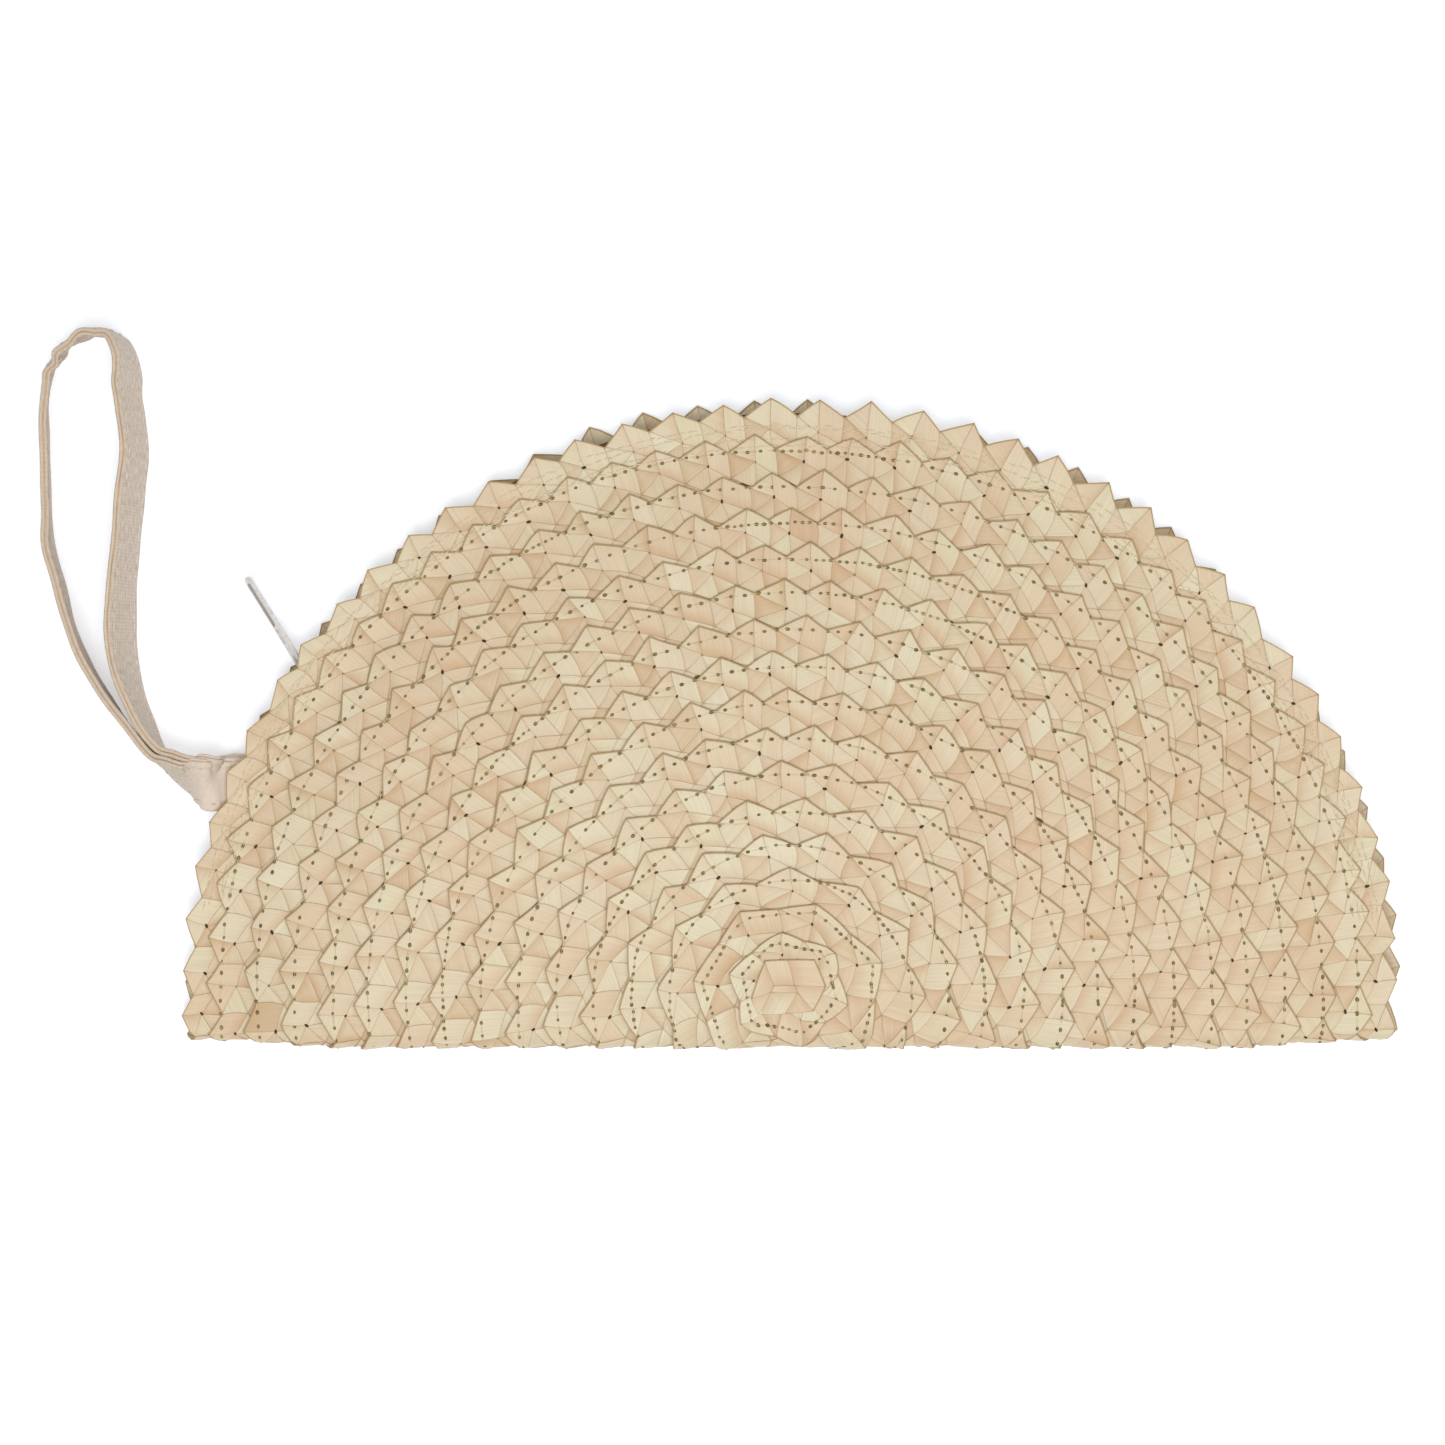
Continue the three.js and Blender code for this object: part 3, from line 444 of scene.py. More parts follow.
def braid_panel(name, front):
    """The teeth of one panel as one object. The rim also has a face on the inside of the bag's mouth."""
    bm = bmesh.new()
    places, leaf, grain, under_shade_and_brown = [], [], [], []
    draw = np.random.default_rng(23 if front else 29)
    lining = []
    for row in rows:
        for index in range(row.teeth):
            if is_on_front(row, index) != front:
                continue
            tooth_mesh, tooth, _hole = kinds_of_tooth[row.kind[index]]
            facet = tooth["facet"]
            for inside in (False, True) if row is rows[0] else (False,):
                height = -ROW_STEP - LINING_GAP - tooth["height"] if inside else tooth["height"]
                places.append(row.point(index, *tooth["flat"].T, height))
                strip = (index + STRIP_OF_FACET[facet]) % row.teeth
                tone = row.tone[strip] + draw.normal(0, TONE_SCATTER, len(FACETS))[facet]
                # Painted shade where a strip goes under another, of random strength for each strip; on the
                # front, the real brown of the few brown strips where that is more
                under_shade = tooth["under_shade_and_brown"] * UNDER_SHADE_MOST * draw.random(len(FACETS))[facet] ** UNDER_SHADE_RARITY
                under_shade_and_brown.append(np.maximum(under_shade, browned(places[-1], facet)) if front else under_shade)
                leaf.append(leaf_channels(tone, row.blush[strip], tooth))
                grain.append(tooth["grain"] + draw.random((len(FACETS), 2))[facet] * GRAIN_LENGTH)
                start = len(bm.faces)
                bm.from_mesh(tooth_mesh)
                if inside:
                    lining.extend(range(start, start + len(tooth_mesh.polygons)))
    bm.faces.ensure_lookup_table()
    bmesh.ops.reverse_faces(bm, faces=[bm.faces[i] for i in lining])
    if front:
        lattice = {corner: np.array(place) for corner, place in MIDDLE_LATTICE.items()}
        patch_mesh, patch = leaf_patch(lattice, MIDDLE_FACETS)
        bm.from_mesh(patch_mesh)
        x, y = patch["flat"].T
        radius, angle = np.hypot(x, y), np.arctan2(-y, x)
        sunk = ROW_STEP - MIDDLE_SINK * (1 - np.clip(radius / CENTRE_RADIUS, 0, 1) ** 2)
        sunk = sunk - MIDDLE_FALL * np.maximum(y, 0)
        places.append(disc_point(*drifted(radius, angle), sunk + patch["height"]))
        tone = MIDDLE_TONES[patch["facet"]]
        leaf.append(leaf_channels(tone, 1 - tone, patch))
        grain.append(patch["grain"])
        # Painted shade under the crossing strips of the middle patch
        under_shade_and_brown.append(MIDDLE_UNDER_SHADE * patch["under_shade_and_brown"])
    made = made_object(name, bm, np.concatenate(places))
    mesh = made.data
    layers = (("leaf", "FLOAT_COLOR", "color", leaf), ("under_shade_and_brown", "FLOAT", "value", under_shade_and_brown))
    for layer, kind, value, parts in layers:
        made_layer = mesh.attributes.new(layer, kind, "POINT")
        made_layer.data.foreach_set(value, np.concatenate(parts).astype(np.float32).ravel())
    corner = np.zeros(len(mesh.loops), np.int32)
    mesh.loops.foreach_get("vertex_index", corner)
    uv = mesh.uv_layers.new(name="grain")
    uv.data.foreach_set("uv", np.concatenate(grain)[corner].astype(np.float32).ravel())
    mesh.set_sharp_from_angle(angle=math.radians(LEAF_CREASE))
    return made


def colour(hex_value):
    """An sRGB hex colour as linear RGBA."""
    parts = [int(hex_value[i : i + 2], 16) / 255 for i in (1, 3, 5)]
    return (*[c / 12.92 if c <= 0.04045 else ((c + 0.055) / 1.055) ** 2.4 for c in parts], 1)


def add_node(tree, kind, inputs=(), **settings):
    """A node with its settings. An input is a value, or another node's socket."""
    made = tree.nodes.new(kind)
    for name, value in settings.items():
        setattr(made, name, value)
    for name, value in dict(inputs).items():
        if isinstance(value, bpy.types.NodeSocket):
            tree.links.new(value, made.inputs[name])
        else:
            made.inputs[name].default_value = value
    return made


def set_ramp(made, stops):
    ramp = made.color_ramp
    while len(ramp.elements) < len(stops):
        ramp.elements.new(0.5)
    for element, (place, value) in zip(ramp.elements, stops):
        element.position = place
        element.color = colour(value)


def new_material(name):
    made = bpy.data.materials.new(name)
    made.use_nodes = True
    made.node_tree.nodes.clear()
    return made, made.node_tree


RANGE = ("Value", "From Min", "From Max", "To Min", "To Max")
LEAF_TONES = (
    (0.0, "#d1bb9b"), (0.16, "#d3c0a2"), (0.4, "#d4c3a5"),
    (0.62, "#d6c7a9"), (0.82, "#d3c8a8"), (1.0, "#d8cdb0"),
)


def dried_pandan():
    """Dried pandan leaf, split into strips and boiled: dull waxy skin with fine veins along each strip."""
    made, tree = new_material("dried_pandan_leaf")
    leaf = add_node(tree, "ShaderNodeAttribute", attribute_name="leaf")
    under_shade_and_brown_node = add_node(tree, "ShaderNodeAttribute", attribute_name="under_shade_and_brown")
    parts = add_node(tree, "ShaderNodeSeparateColor", {"Color": leaf.outputs["Color"]})
    base = add_node(tree, "ShaderNodeValToRGB", {"Fac": parts.outputs["Red"]})
    set_ramp(base, LEAF_TONES)

    # Patches some 40 mm across, where a run of strips came from one browner leaf
    place = add_node(tree, "ShaderNodeTexCoord").outputs["Object"]
    patch = add_node(tree, "ShaderNodeTexNoise", {"Vector": place, "Scale": 26.0, "Detail": 2.0})

    # Veins about 0.4 mm apart and 20 mm long, in the UV map's millimetres
    uv = add_node(tree, "ShaderNodeUVMap", uv_map="grain").outputs["UV"]
    long = add_node(tree, "ShaderNodeMapping", {"Vector": uv, "Scale": (2.6, 0.05, 1.0)}).outputs["Vector"]
    veins = add_node(tree, "ShaderNodeTexNoise", {"Vector": long, "Scale": 1.0, "Detail": 4.0})

    # The edge lines are partly the browner edges of the strips and partly painted shade along the strips'
    # borders
    ranges = (
        (patch.outputs["Fac"], 0.42, 0.68, 0.0, 1.0),
        (veins.outputs["Fac"], 0.3, 0.7, 0.91, 1.06),
        (parts.outputs["Blue"], 0.04, 0.15, 0.6, 0.0),
        (leaf.outputs["Alpha"], 0.16, 0.28, 0.85, 0.0),
    )
    rosy, vein_tone, edge_line, fold_line = (
        add_node(tree, "ShaderNodeMapRange", dict(zip(RANGE, values))).outputs["Result"] for values in ranges
    )
    blush = add_node(tree, "ShaderNodeMath", {0: parts.outputs["Green"], 1: rosy}, operation="MULTIPLY")
    # The leaf's colour takes painted shade where strips go under others, mixed with the few brown strips' own
    # colour
    layers = (
        (blush.outputs[0], colour("#d3b899"), "MIX"),
        (1.0, vein_tone, "MULTIPLY"),
        (under_shade_and_brown_node.outputs["Fac"], colour("#bd9466"), "MIX"),
        (edge_line, colour("#8f7145"), "MIX"),
        (fold_line, colour("#a1834f"), "MIX"),
    )
    skin = base.outputs["Color"]
    for share, tint, blend in layers:
        mixed = {0: share, 6: skin, 7: tint}
        skin = add_node(tree, "ShaderNodeMix", mixed, data_type="RGBA", blend_type=blend).outputs[2]
    relief = {"Height": veins.outputs["Fac"], "Strength": 0.35, "Distance": 0.0002}
    bump = add_node(tree, "ShaderNodeBump", relief)
    inputs = {"Base Color": skin, "Normal": bump.outputs["Normal"], "Roughness": 0.5, "IOR": 1.45}
    shader = add_node(tree, "ShaderNodeBsdfPrincipled", inputs)
    add_node(tree, "ShaderNodeOutputMaterial", {"Surface": shader.outputs["BSDF"]})
    return made


def finished(piece, material, body):
    """Gives a piece its material and its body."""
    piece.data.materials.append(material)
    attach(piece, body)
    return piece


leaf_skin = dried_pandan()
braid_front = finished(braid_panel("braid_front", True), leaf_skin, "clutch")
braid_back = finished(braid_panel("braid_back", False), leaf_skin, "clutch")
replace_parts(braid_front, "woven_body")

# The backing
# The lapped inner halves of the rows, one rough skin of leaf. Outside it shows only as dark gaps between the
# strips, its dark brown painted shade, and inside it lines the bag.
BACKING_OFFSET = -0.55
BACKING_THICKNESS = 0.6
BACKING_INSET = 4.2
BACKING_TAPER = 20  # the more, the blunter its edge
NARROWEST_RIM = 0.995  # share of the rim's radius


def surface(name, across, along, place, run=lambda across, along: (across, along), closed=False):
    """A sheet or a tube from a grid, joined where its edges meet, with a UV map "cloth".

    Of two arrays of shares, from 0 to 1, place makes points, and run makes places along the cloth's threads.
    Both are in millimetres.
    """
    bm = bmesh.new()
    bmesh.ops.create_grid(bm, x_segments=across, y_segments=along, size=0.5)
    bm.verts.index_update()
    shares = np.array([v.co for v in bm.verts])[:, :2] + 0.5
    uv = bm.loops.layers.uv.new("cloth")
    cloth = np.stack(run(shares[:, 0], shares[:, 1]), axis=-1)
    for face in bm.faces:
        for loop in face.loops:
            loop[uv].uv = cloth[loop.vert.index]
    for v, point in zip(bm.verts, place(shares[:, 0], shares[:, 1]) * MM):
        v.co = point
    bmesh.ops.remove_doubles(bm, verts=bm.verts[:], dist=1e-6)
    if closed:
        bmesh.ops.holes_fill(bm, edges=[e for e in bm.edges if e.is_boundary])
    bmesh.ops.recalc_face_normals(bm, faces=bm.faces[:])
    return made_object(name, bm)


def backing_point(round_share, along):
    """Round the section from one tip to the other and back, and along it from rim to rim over the fold."""
    across = 1 - np.abs(2 * round_share - 1)
    reach = RIM_RADIUS * NARROWEST_RIM - BACKING_INSET
    top = reach + FOLD_TO_CENTRE
    s = top * np.sin((along * 2 - 1) * math.pi / 2)
    width = np.sqrt(np.maximum(reach**2 - (np.abs(s) - FOLD_TO_CENTRE) ** 2, 0))
    taper = np.minimum(1, BACKING_TAPER * across * (1 - across))
    inner = np.where(round_share > 0.5, BACKING_THICKNESS, 0) * taper
    return folded_point((across * 2 - 1) * width, s, BACKING_OFFSET - inner)


def mottled(name, scale, detail, stops, inputs, bump=None, dull=None):
    """A material whose colour goes with fine noise, from a ramp's stops. The scale is for metres.

    The noise is also in relief where there is a bump: its strength and its height in metres. Where the shine
    isn't even, dull has from and to of the noise, and the roughness at each.
    """
    made, tree = new_material(name)
    place = add_node(tree, "ShaderNodeTexCoord").outputs["Object"]
    fine = {"Vector": place, "Scale": scale, "Detail": detail}
    noise = add_node(tree, "ShaderNodeTexNoise", fine).outputs["Fac"]
    base = add_node(tree, "ShaderNodeValToRGB", {"Fac": noise})
    set_ramp(base, stops)
    inputs = {"Base Color": base.outputs["Color"], **inputs}
    if bump:
        relief = add_node(tree, "ShaderNodeBump", {"Height": noise, "Strength": bump[0], "Distance": bump[1]})
        inputs["Normal"] = relief.outputs["Normal"]
    if dull:
        varied = add_node(tree, "ShaderNodeMapRange", dict(zip(RANGE, (noise, *dull))))
        inputs["Roughness"] = varied.outputs["Result"]
    shader = add_node(tree, "ShaderNodeBsdfPrincipled", inputs)
    add_node(tree, "ShaderNodeOutputMaterial", {"Surface": shader.outputs["BSDF"]})
    return made


# Painted shade: the backing is coloured a dark, rough and streaked brown, standing in for the shade in the
# gaps of the braid, so that they look deep
backing_shade_tones = ((0.3, "#4a3720"), (0.7, "#7c6240"))
backing_painted_shade = mottled("braid_backing_painted_shade", 400.0, 3.0, backing_shade_tones, {"Roughness": 0.8}, (0.5, 0.0003))
finished(surface("braid_backing", 120, 160, backing_point), backing_painted_shade, "clutch")

# The seams of the disc
# Each row is machine-sewn to the next just inside its teeth, with thin undyed thread. The needle leaves small
# dark holes in the leaf, and the thread between them hardly shows.
SEAM_INSET = 4.1
SEAM_PITCH = 3.3
SEAM_SHORT_PITCH = 2.0  # where a seam was sewn over twice
SEWN_OVER = 3  # places in a row where it was
SEWN_OVER_REACH = 14  # mm to each side of them
PITCH_SCATTER = 0.09  # share of a stitch
SEAM_WANDER = 0.35  # mm that a sewn line sways
STITCH_SCATTER = 0.12  # mm that one stitch is beside its line
NEEDLE_HOLE = (0.62, 0.46, 0.07)  # half length, half width and height of its rim
SEAM_THREAD = (0.13, 0.1)  # half width and height
OPEN_CORNER = (0.52, 0.3, 0.06)  # where four strips cross and don't quite meet
OPEN_CORNERS = 0.55  # share of the teeth that have one
CORNER_LIFT = 0.04
RAY_START = 4


def unit(ways):
    return ways / np.linalg.norm(ways, axis=-1, keepdims=True)


def on_leaf(radius, angle):
    """Where places of the disc lie on the leaf, the ways along the row and out, and if it is the front."""
    outer, inner = disc_point(radius, angle, RAY_START), disc_point(radius, angle, -RAY_START)
    out = unit(outer - inner)
    ahead = unit(disc_point(radius, angle + 1e-4, 0) - disc_point(radius, angle - 1e-4, 0))
    is_front = above_fold(radius, angle)
    places = disc_point(radius, angle, np.full(len(radius), ROW_STEP / 2))
    facing = out.copy()
    for i in range(len(places)):
        panel = braid_front if is_front[i] else braid_back
        cast = panel.ray_cast(Vector(outer[i] * MM), Vector(-out[i]), distance=2 * RAY_START * MM)
        if cast[0]:
            places[i], facing[i] = np.array(cast[1]) / MM, cast[2]
    return places, ahead, facing, is_front


def copies(name, shape, places, ways, outs, sizes):
    """One object of many copies of a small mesh, each turned: its X along ways and its Z along outs.

    There is a size for each copy, or one for all of them.
    """
    flat = np.array([v.co for v in shape.vertices])
    ways = unit(ways - np.sum(ways * outs, axis=1, keepdims=True) * outs)
    sizes = np.broadcast_to(sizes, (len(places), 3))
    axes = np.stack([ways, np.cross(outs, ways), outs], axis=1) * sizes[:, :, None]
    bm = bmesh.new()
    for _copy in range(len(places)):
        bm.from_mesh(shape)
    points = places[:, None, :] + np.einsum("vk,nkc->nvc", flat, axes)
    return made_object(name, bm, points.reshape(-1, 3))


def end_to_end(rows_of_arrays):
    """Each kind of array of all the rows as one array."""
    return [np.concatenate(kind) for kind in zip(*rows_of_arrays)]


def small_mesh(bm):
    mesh = bpy.data.meshes.new("small")
    bm.to_mesh(mesh)
    bm.free()
    return mesh


def needle_hole():
    """A low rim round a sunk middle, 2 across and 1 high."""
    bm = bmesh.new()
    bmesh.ops.create_cone(bm, cap_ends=True, segments=9, radius1=1, radius2=0.78, depth=1.4)
    bmesh.ops.translate(bm, verts=bm.verts[:], vec=(0, 0, 0.3))
    top = max(bm.faces, key=lambda face: face.calc_center_median().z)
    bmesh.ops.inset_region(bm, faces=[top], thickness=0.3)
    bmesh.ops.translate(bm, verts=top.verts[:], vec=(0, 0, -0.9))
    return small_mesh(bm)


def thread_bar():
    """A stitch, 2 long, 2 wide and 1 high, that dips in at both ends."""
    bm = bmesh.new()
    bmesh.ops.create_uvsphere(bm, u_segments=6, v_segments=5, radius=1)
    bmesh.ops.rotate(bm, verts=bm.verts[:], matrix=Matrix.Rotation(math.pi / 2, 3, "Y"))
    return small_mesh(bm)


def cotton_thread(name, pale, dark):
    """Spun sewing thread: matt, with a twist a few tenths of a millimetre long."""
    return mottled(name, 3000.0, 2.0, ((0.35, dark), (0.65, pale)), {"Roughness": 0.75}, (0.4, 0.0001))


def seam_places(row, draw):
    """Radius and angle of each needle hole of a row's seam."""
    around = 2 * math.pi * (row.tip - SEAM_INSET)
    doubled = draw.random(SEWN_OVER) * around
    steps, reached = [0.0], 0.0
    while reached < around - SEAM_SHORT_PITCH:
        close = np.min(np.abs(reached - doubled)) < SEWN_OVER_REACH
        reached += (SEAM_SHORT_PITCH if close else SEAM_PITCH) * (1 + draw.normal(0, PITCH_SCATTER))
        steps.append(reached)
    angle = np.array(steps) / around * 2 * math.pi
    wander = SEAM_WANDER * np.sin(angle * draw.integers(3, 7) + draw.random() * 6)
    wander = wander + draw.normal(0, STITCH_SCATTER, len(angle))
    radius = row.tip - SEAM_INSET + wander
    if row.tip < POLYGON_ROWS:
        half_tooth = math.pi / row.teeth
        from_middle = (angle - row.turn) % (2 * half_tooth) - half_tooth
        radius = radius * math.cos(half_tooth * 0.6) / np.cos(from_middle)
    return drifted(radius, angle)


def open_corners(row, draw):
    """Middle, way along and way out of each open corner of a row, and whether it is on the front."""
    teeth = np.flatnonzero(draw.random(row.teeth) < OPEN_CORNERS)
    u, v = np.array([kinds_of_tooth[row.kind[index]][2] for index in teeth]).T
    places = row.point(teeth, u, v, np.full(len(teeth), CORNER_LIFT))
    out = unit(row.point(teeth, u, v, np.ones(len(teeth))) - places)
    aside = draw.normal(0, 0.1, (len(teeth), 2)).T
    ahead = unit(row.point(teeth, u + aside[0], v + aside[1], np.zeros(len(teeth))) - places)
    return places, ahead, out, np.array([is_on_front(row, index) for index in teeth])


bpy.context.view_layer.update()
seam_draw = np.random.default_rng(3)
holes, threads = [], []
for row in rows[1:]:
    places, ahead, out, is_front = on_leaf(*seam_places(row, seam_draw))
    holes.append((places, ahead, out, is_front))
    middle, way = (places[1:] + places[:-1]) / 2, places[1:] - places[:-1]
    apart = np.linalg.norm(way, axis=1)
    near = (apart < 2 * SEAM_PITCH) & (is_front[1:] == is_front[:-1])
    span = np.insert(np.tile(SEAM_THREAD, (len(apart), 1)), 0, apart / 2, axis=1)
    threads.append([part[near] for part in (middle, way, out[1:], is_front[1:], span)])
holes = end_to_end(holes)
holes.append(np.array(NEEDLE_HOLE) * seam_draw.uniform(0.8, 1.15, (len(holes[0]), 1)))
corners = end_to_end([open_corners(row, seam_draw) for row in rows])
corners.append(np.array(OPEN_CORNER) * seam_draw.uniform(0.6, 1.3, (len(corners[0]), 1)))
hole_mesh, bar_mesh = needle_hole(), thread_bar()

# Dark olive-brown at each needle hole, over its low rim and sunk middle
hole_tones = ((0.3, "#66552e"), (0.55, "#7f6c3d"), (0.75, "#9c8a5b"))
dark_needle_hole = mottled("needle_hole_in_leaf", 160.0, 1.0, hole_tones, {"Roughness": 0.7})
# Painted shade: a dark brown patch where an open corner of the braid shows the shaded inside of the bag
open_corner_shade_tones = ((0.3, "#2d2013"), (0.7, "#523d25"))
open_corner_shade = mottled("open_corner_painted_shade", 500.0, 2.0, open_corner_shade_tones, {"Roughness": 0.9})
seam_details = (
    ("seam_holes", hole_mesh, holes, dark_needle_hole),
    ("seam_thread", bar_mesh, end_to_end(threads), cotton_thread("undyed_seam_thread", "#d9cba8", "#bda97f")),
    ("open_corners", hole_mesh, corners, open_corner_shade),
)
for side, front in (("front", True), ("back", False)):
    for name, shape, (places, ahead, out, is_front, sizes), material in seam_details:
        mine = is_front == front
        detail = copies(f"{name}_{side}", shape, places[mine], ahead[mine], out[mine], sizes[mine])
        finished(detail, material, "clutch")

# The rim's stitching
# Two lines of thicker off-white thread along the arc, each sewn over twice, which hold the zip's tapes.
RIM_LINES = (5.7, 6.8, 9.3, 10.5)  # in from the tips
RIM_STITCH = 2.7
RIM_THREAD = (1.2, 0.19, 0.16)  # half length, half width and height
RIM_SEWN = (8, 171)  # degrees
RIM_ASKEW = 0.14

rim_draw = np.random.default_rng(17)
angle_step = RIM_STITCH / (RIM_RADIUS - RIM_LINES[0])
sewn_from, sewn_to = np.radians(RIM_SEWN)
stitched = []
for inset in RIM_LINES:
    sewn = np.arange(sewn_from + angle_step * rim_draw.random(), sewn_to, angle_step)
    wander = SEAM_WANDER * np.sin(sewn * 7 + 2.3 * inset) + rim_draw.normal(0, STITCH_SCATTER, len(sewn))
    for side in (1, -1):
        places, ahead, out, _front = on_leaf(RIM_RADIUS - inset + wander, side * sewn)
        askew = np.cross(out, ahead) * rim_draw.normal(0, RIM_ASKEW, (len(sewn), 1))
        stitched.append((places, ahead + askew, out))
rim_stitches = copies("rim_stitches", bar_mesh, *end_to_end(stitched), RIM_THREAD)
finished(rim_stitches, cotton_thread("off_white_thread", "#e2d5b9", "#bfae8a"), "clutch")

# The zip
# A closed nylon coil zip set on edge inside the arc: two woven tapes along the panels' inner faces, with the
# coil's loops between them.
ZIP_RIGHT, ZIP_LEFT = 12, 152  # degrees
SLIDER_ANGLE = 146.1
SLIDER_LENGTH = 9.5
DIVIDER_LENGTH = 2.2
CHAIN_THICKNESS = 1.8
COIL_PITCH = 1.25
COIL_WIRE = 0.31  # half its thickness along the zip
HEAD_LAP = 0.2  # share of the chain's width by which the loops' heads pass its middle
TAPE_SECTION = 28
THREADS_APART = 0.5
WAVES_PER_MM = 0.314  # a wave texture's scale for one thread in each millimetre


def rim_place(angle, inset):
    """X, distance from the fold and Y of a place inside the rim."""
    radius = RIM_RADIUS * shape_at(RIM_SHAPE, angle) - inset
    s = radius * np.sin(angle) + FOLD_TO_CENTRE
    return radius * np.cos(angle), s, FOLD_THICKNESS / 2 + s - BEND_LENGTH + FOLDED_EDGE_Y


def chain_middle(angle):
    x, s, _y = rim_place(angle, ZIP_INSET + CHAIN_THICKNESS / 2)
    return thickness_at(x, s) / 2


def tape_point(side):
    def place(around, along):
        across = 1 - np.abs(2 * around - 1)
        angle = np.radians(ZIP_RIGHT + (ZIP_LEFT - ZIP_RIGHT) * along)
        x, s, y = rim_place(angle, ZIP_INSET + across * TAPE_WIDTH)
        panel = thickness_at(x, s) - WALL if side > 0 else WALL + 0 * x
        round_edge = np.sqrt(np.clip(1 - np.abs(2 * across - 1) ** 16, 0, 1))
        middle = panel - side * (CLEARANCE + TAPE_THICKNESS / 2)
        height = np.where(around < 0.5, 0.5, -0.5) * TAPE_THICKNESS * round_edge
        return np.stack([x, y, middle + height], axis=-1)

    return place


def woven_cloth(name, pale, dark, depth, tints=()):
    """Plain-woven cloth: fine crossing threads in relief, paler on the threads' crowns, with a few slubs.

    Each tint is an axis of the cloth's UV map, the length that the tint lies at both ends of, how far it
    reaches in, its share and its colour.
    """
    made, tree = new_material(name)
    uv = add_node(tree, "ShaderNodeUVMap", uv_map="cloth").outputs["UV"]
    threads = {"Vector": uv, "Scale": WAVES_PER_MM / THREADS_APART, "Distortion": 0.6, "Detail Scale": 0.4}
    warp, weft = (
        add_node(tree, "ShaderNodeTexWave", threads, bands_direction=way).outputs["Fac"] for way in ("X", "Y")
    )
    weave = add_node(tree, "ShaderNodeMath", {0: warp, 1: weft}, operation="MAXIMUM")
    slub = add_node(tree, "ShaderNodeMapping", {"Vector": uv, "Scale": (2.0, 0.7, 1.0)}).outputs["Vector"]
    slubs = add_node(tree, "ShaderNodeTexNoise", {"Vector": slub, "Scale": 1.0, "Detail": 5.0}).outputs["Fac"]
    share = add_node(tree, "ShaderNodeMath", {0: weave.outputs[0], 1: 0.16}, operation="MULTIPLY")
    tone = add_node(tree, "ShaderNodeMath", {0: share.outputs[0], 1: slubs}, operation="ADD")
    base = add_node(tree, "ShaderNodeValToRGB", {"Fac": tone.outputs[0]})
    set_ramp(base, ((0.4, dark), (0.78, pale)))
    cloth_colour = base.outputs["Color"]
    place = add_node(tree, "ShaderNodeSeparateXYZ", {"Vector": uv})
    for axis, length, reach, most, tint in tints:
        along = place.outputs[axis]
        other = add_node(tree, "ShaderNodeMath", {0: length, 1: along}, operation="SUBTRACT")
        near = add_node(tree, "ShaderNodeMath", {0: along, 1: other.outputs[0]}, operation="MINIMUM")
        span = dict(zip(RANGE, (near.outputs[0], 0.0, reach, most, 0.0)))
        fade = add_node(tree, "ShaderNodeMapRange", span, interpolation_type="SMOOTHSTEP")
        mixed = {0: fade.outputs["Result"], 6: cloth_colour, 7: colour(tint)}
        cloth_colour = add_node(tree, "ShaderNodeMix", mixed, data_type="RGBA").outputs[2]
    relief = add_node(tree, "ShaderNodeMath", {0: weave.outputs[0], 1: slubs}, operation="ADD")
    bump = add_node(tree, "ShaderNodeBump", {"Height": relief.outputs[0], "Strength": 0.6, "Distance": depth})
    inputs = {"Base Color": cloth_colour, "Roughness": 0.85, "Sheen Weight": 0.15}
    inputs["Normal"] = bump.outputs["Normal"]
    shader = add_node(tree, "ShaderNodeBsdfPrincipled", inputs)
    add_node(tree, "ShaderNodeOutputMaterial", {"Surface": shader.outputs["BSDF"]})
    return made


tape_cloth = woven_cloth("woven_zip_tape", "#e9e4d8", "#d0c9b9", 0.0001)
tape_length = math.radians(ZIP_LEFT - ZIP_RIGHT) * (RIM_RADIUS - ZIP_INSET)


def tape_run(around, along):
    return around * 2 * TAPE_WIDTH, along * tape_length


for node, side in (("zip_tape_front", 1), ("zip_tape_back", -1)):
    tape = surface(f"woven_{node}", TAPE_SECTION, 150, tape_point(side), tape_run, closed=True)
    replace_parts(finished(tape, tape_cloth, "clutch"), node)


def coil_loop():
    """One loop of the coil, 2 long, 2 wide and 2 high, with a fuller head at its free end."""
    bm = bmesh.new()
    bmesh.ops.create_uvsphere(bm, u_segments=8, v_segments=6, radius=1)
    for v in bm.verts:
        fullness = 1.12 if v.co.z > 0.3 else 1.0
        v.co.x = fullness * math.copysign(abs(v.co.x) ** 0.7, v.co.x)
        v.co.y = math.copysign(abs(v.co.y) ** 0.7, v.co.y)
        v.co.z = math.copysign(abs(v.co.z) ** 0.6, v.co.z)
    return small_mesh(bm)


# Moulded nylon monofilament: smooth, a little translucent, with a soft shine
nylon_tones = ((0.3, "#dcd8cd"), (0.7, "#efece4"))
nylon_shine = {"Roughness": 0.35, "IOR": 1.53, "Subsurface Weight": 0.1}
nylon = mottled("nylon_coil", 120.0, 2.0, nylon_tones, nylon_shine)
chain_radius = RIM_RADIUS - ZIP_INSET
coil_end = math.radians(SLIDER_ANGLE) + (SLIDER_LENGTH / 2 - DIVIDER_LENGTH - CLEARANCE) / chain_radius
coil_step = COIL_PITCH / 2 / chain_radius
turns = np.arange(math.radians(ZIP_RIGHT), coil_end - coil_step, coil_step)
side = np.where(np.arange(len(turns)) % 2, 1.0, -1.0)
x, _s, y = rim_place(turns, ZIP_INSET + CHAIN_THICKNESS / 2)
half_loop = (0.5 + HEAD_LAP) * CHAIN_WIDTH / 2
z = chain_middle(turns) + side * (CHAIN_WIDTH / 2 - half_loop)
along = np.stack([-np.sin(turns), np.cos(turns), 0 * turns], axis=-1)
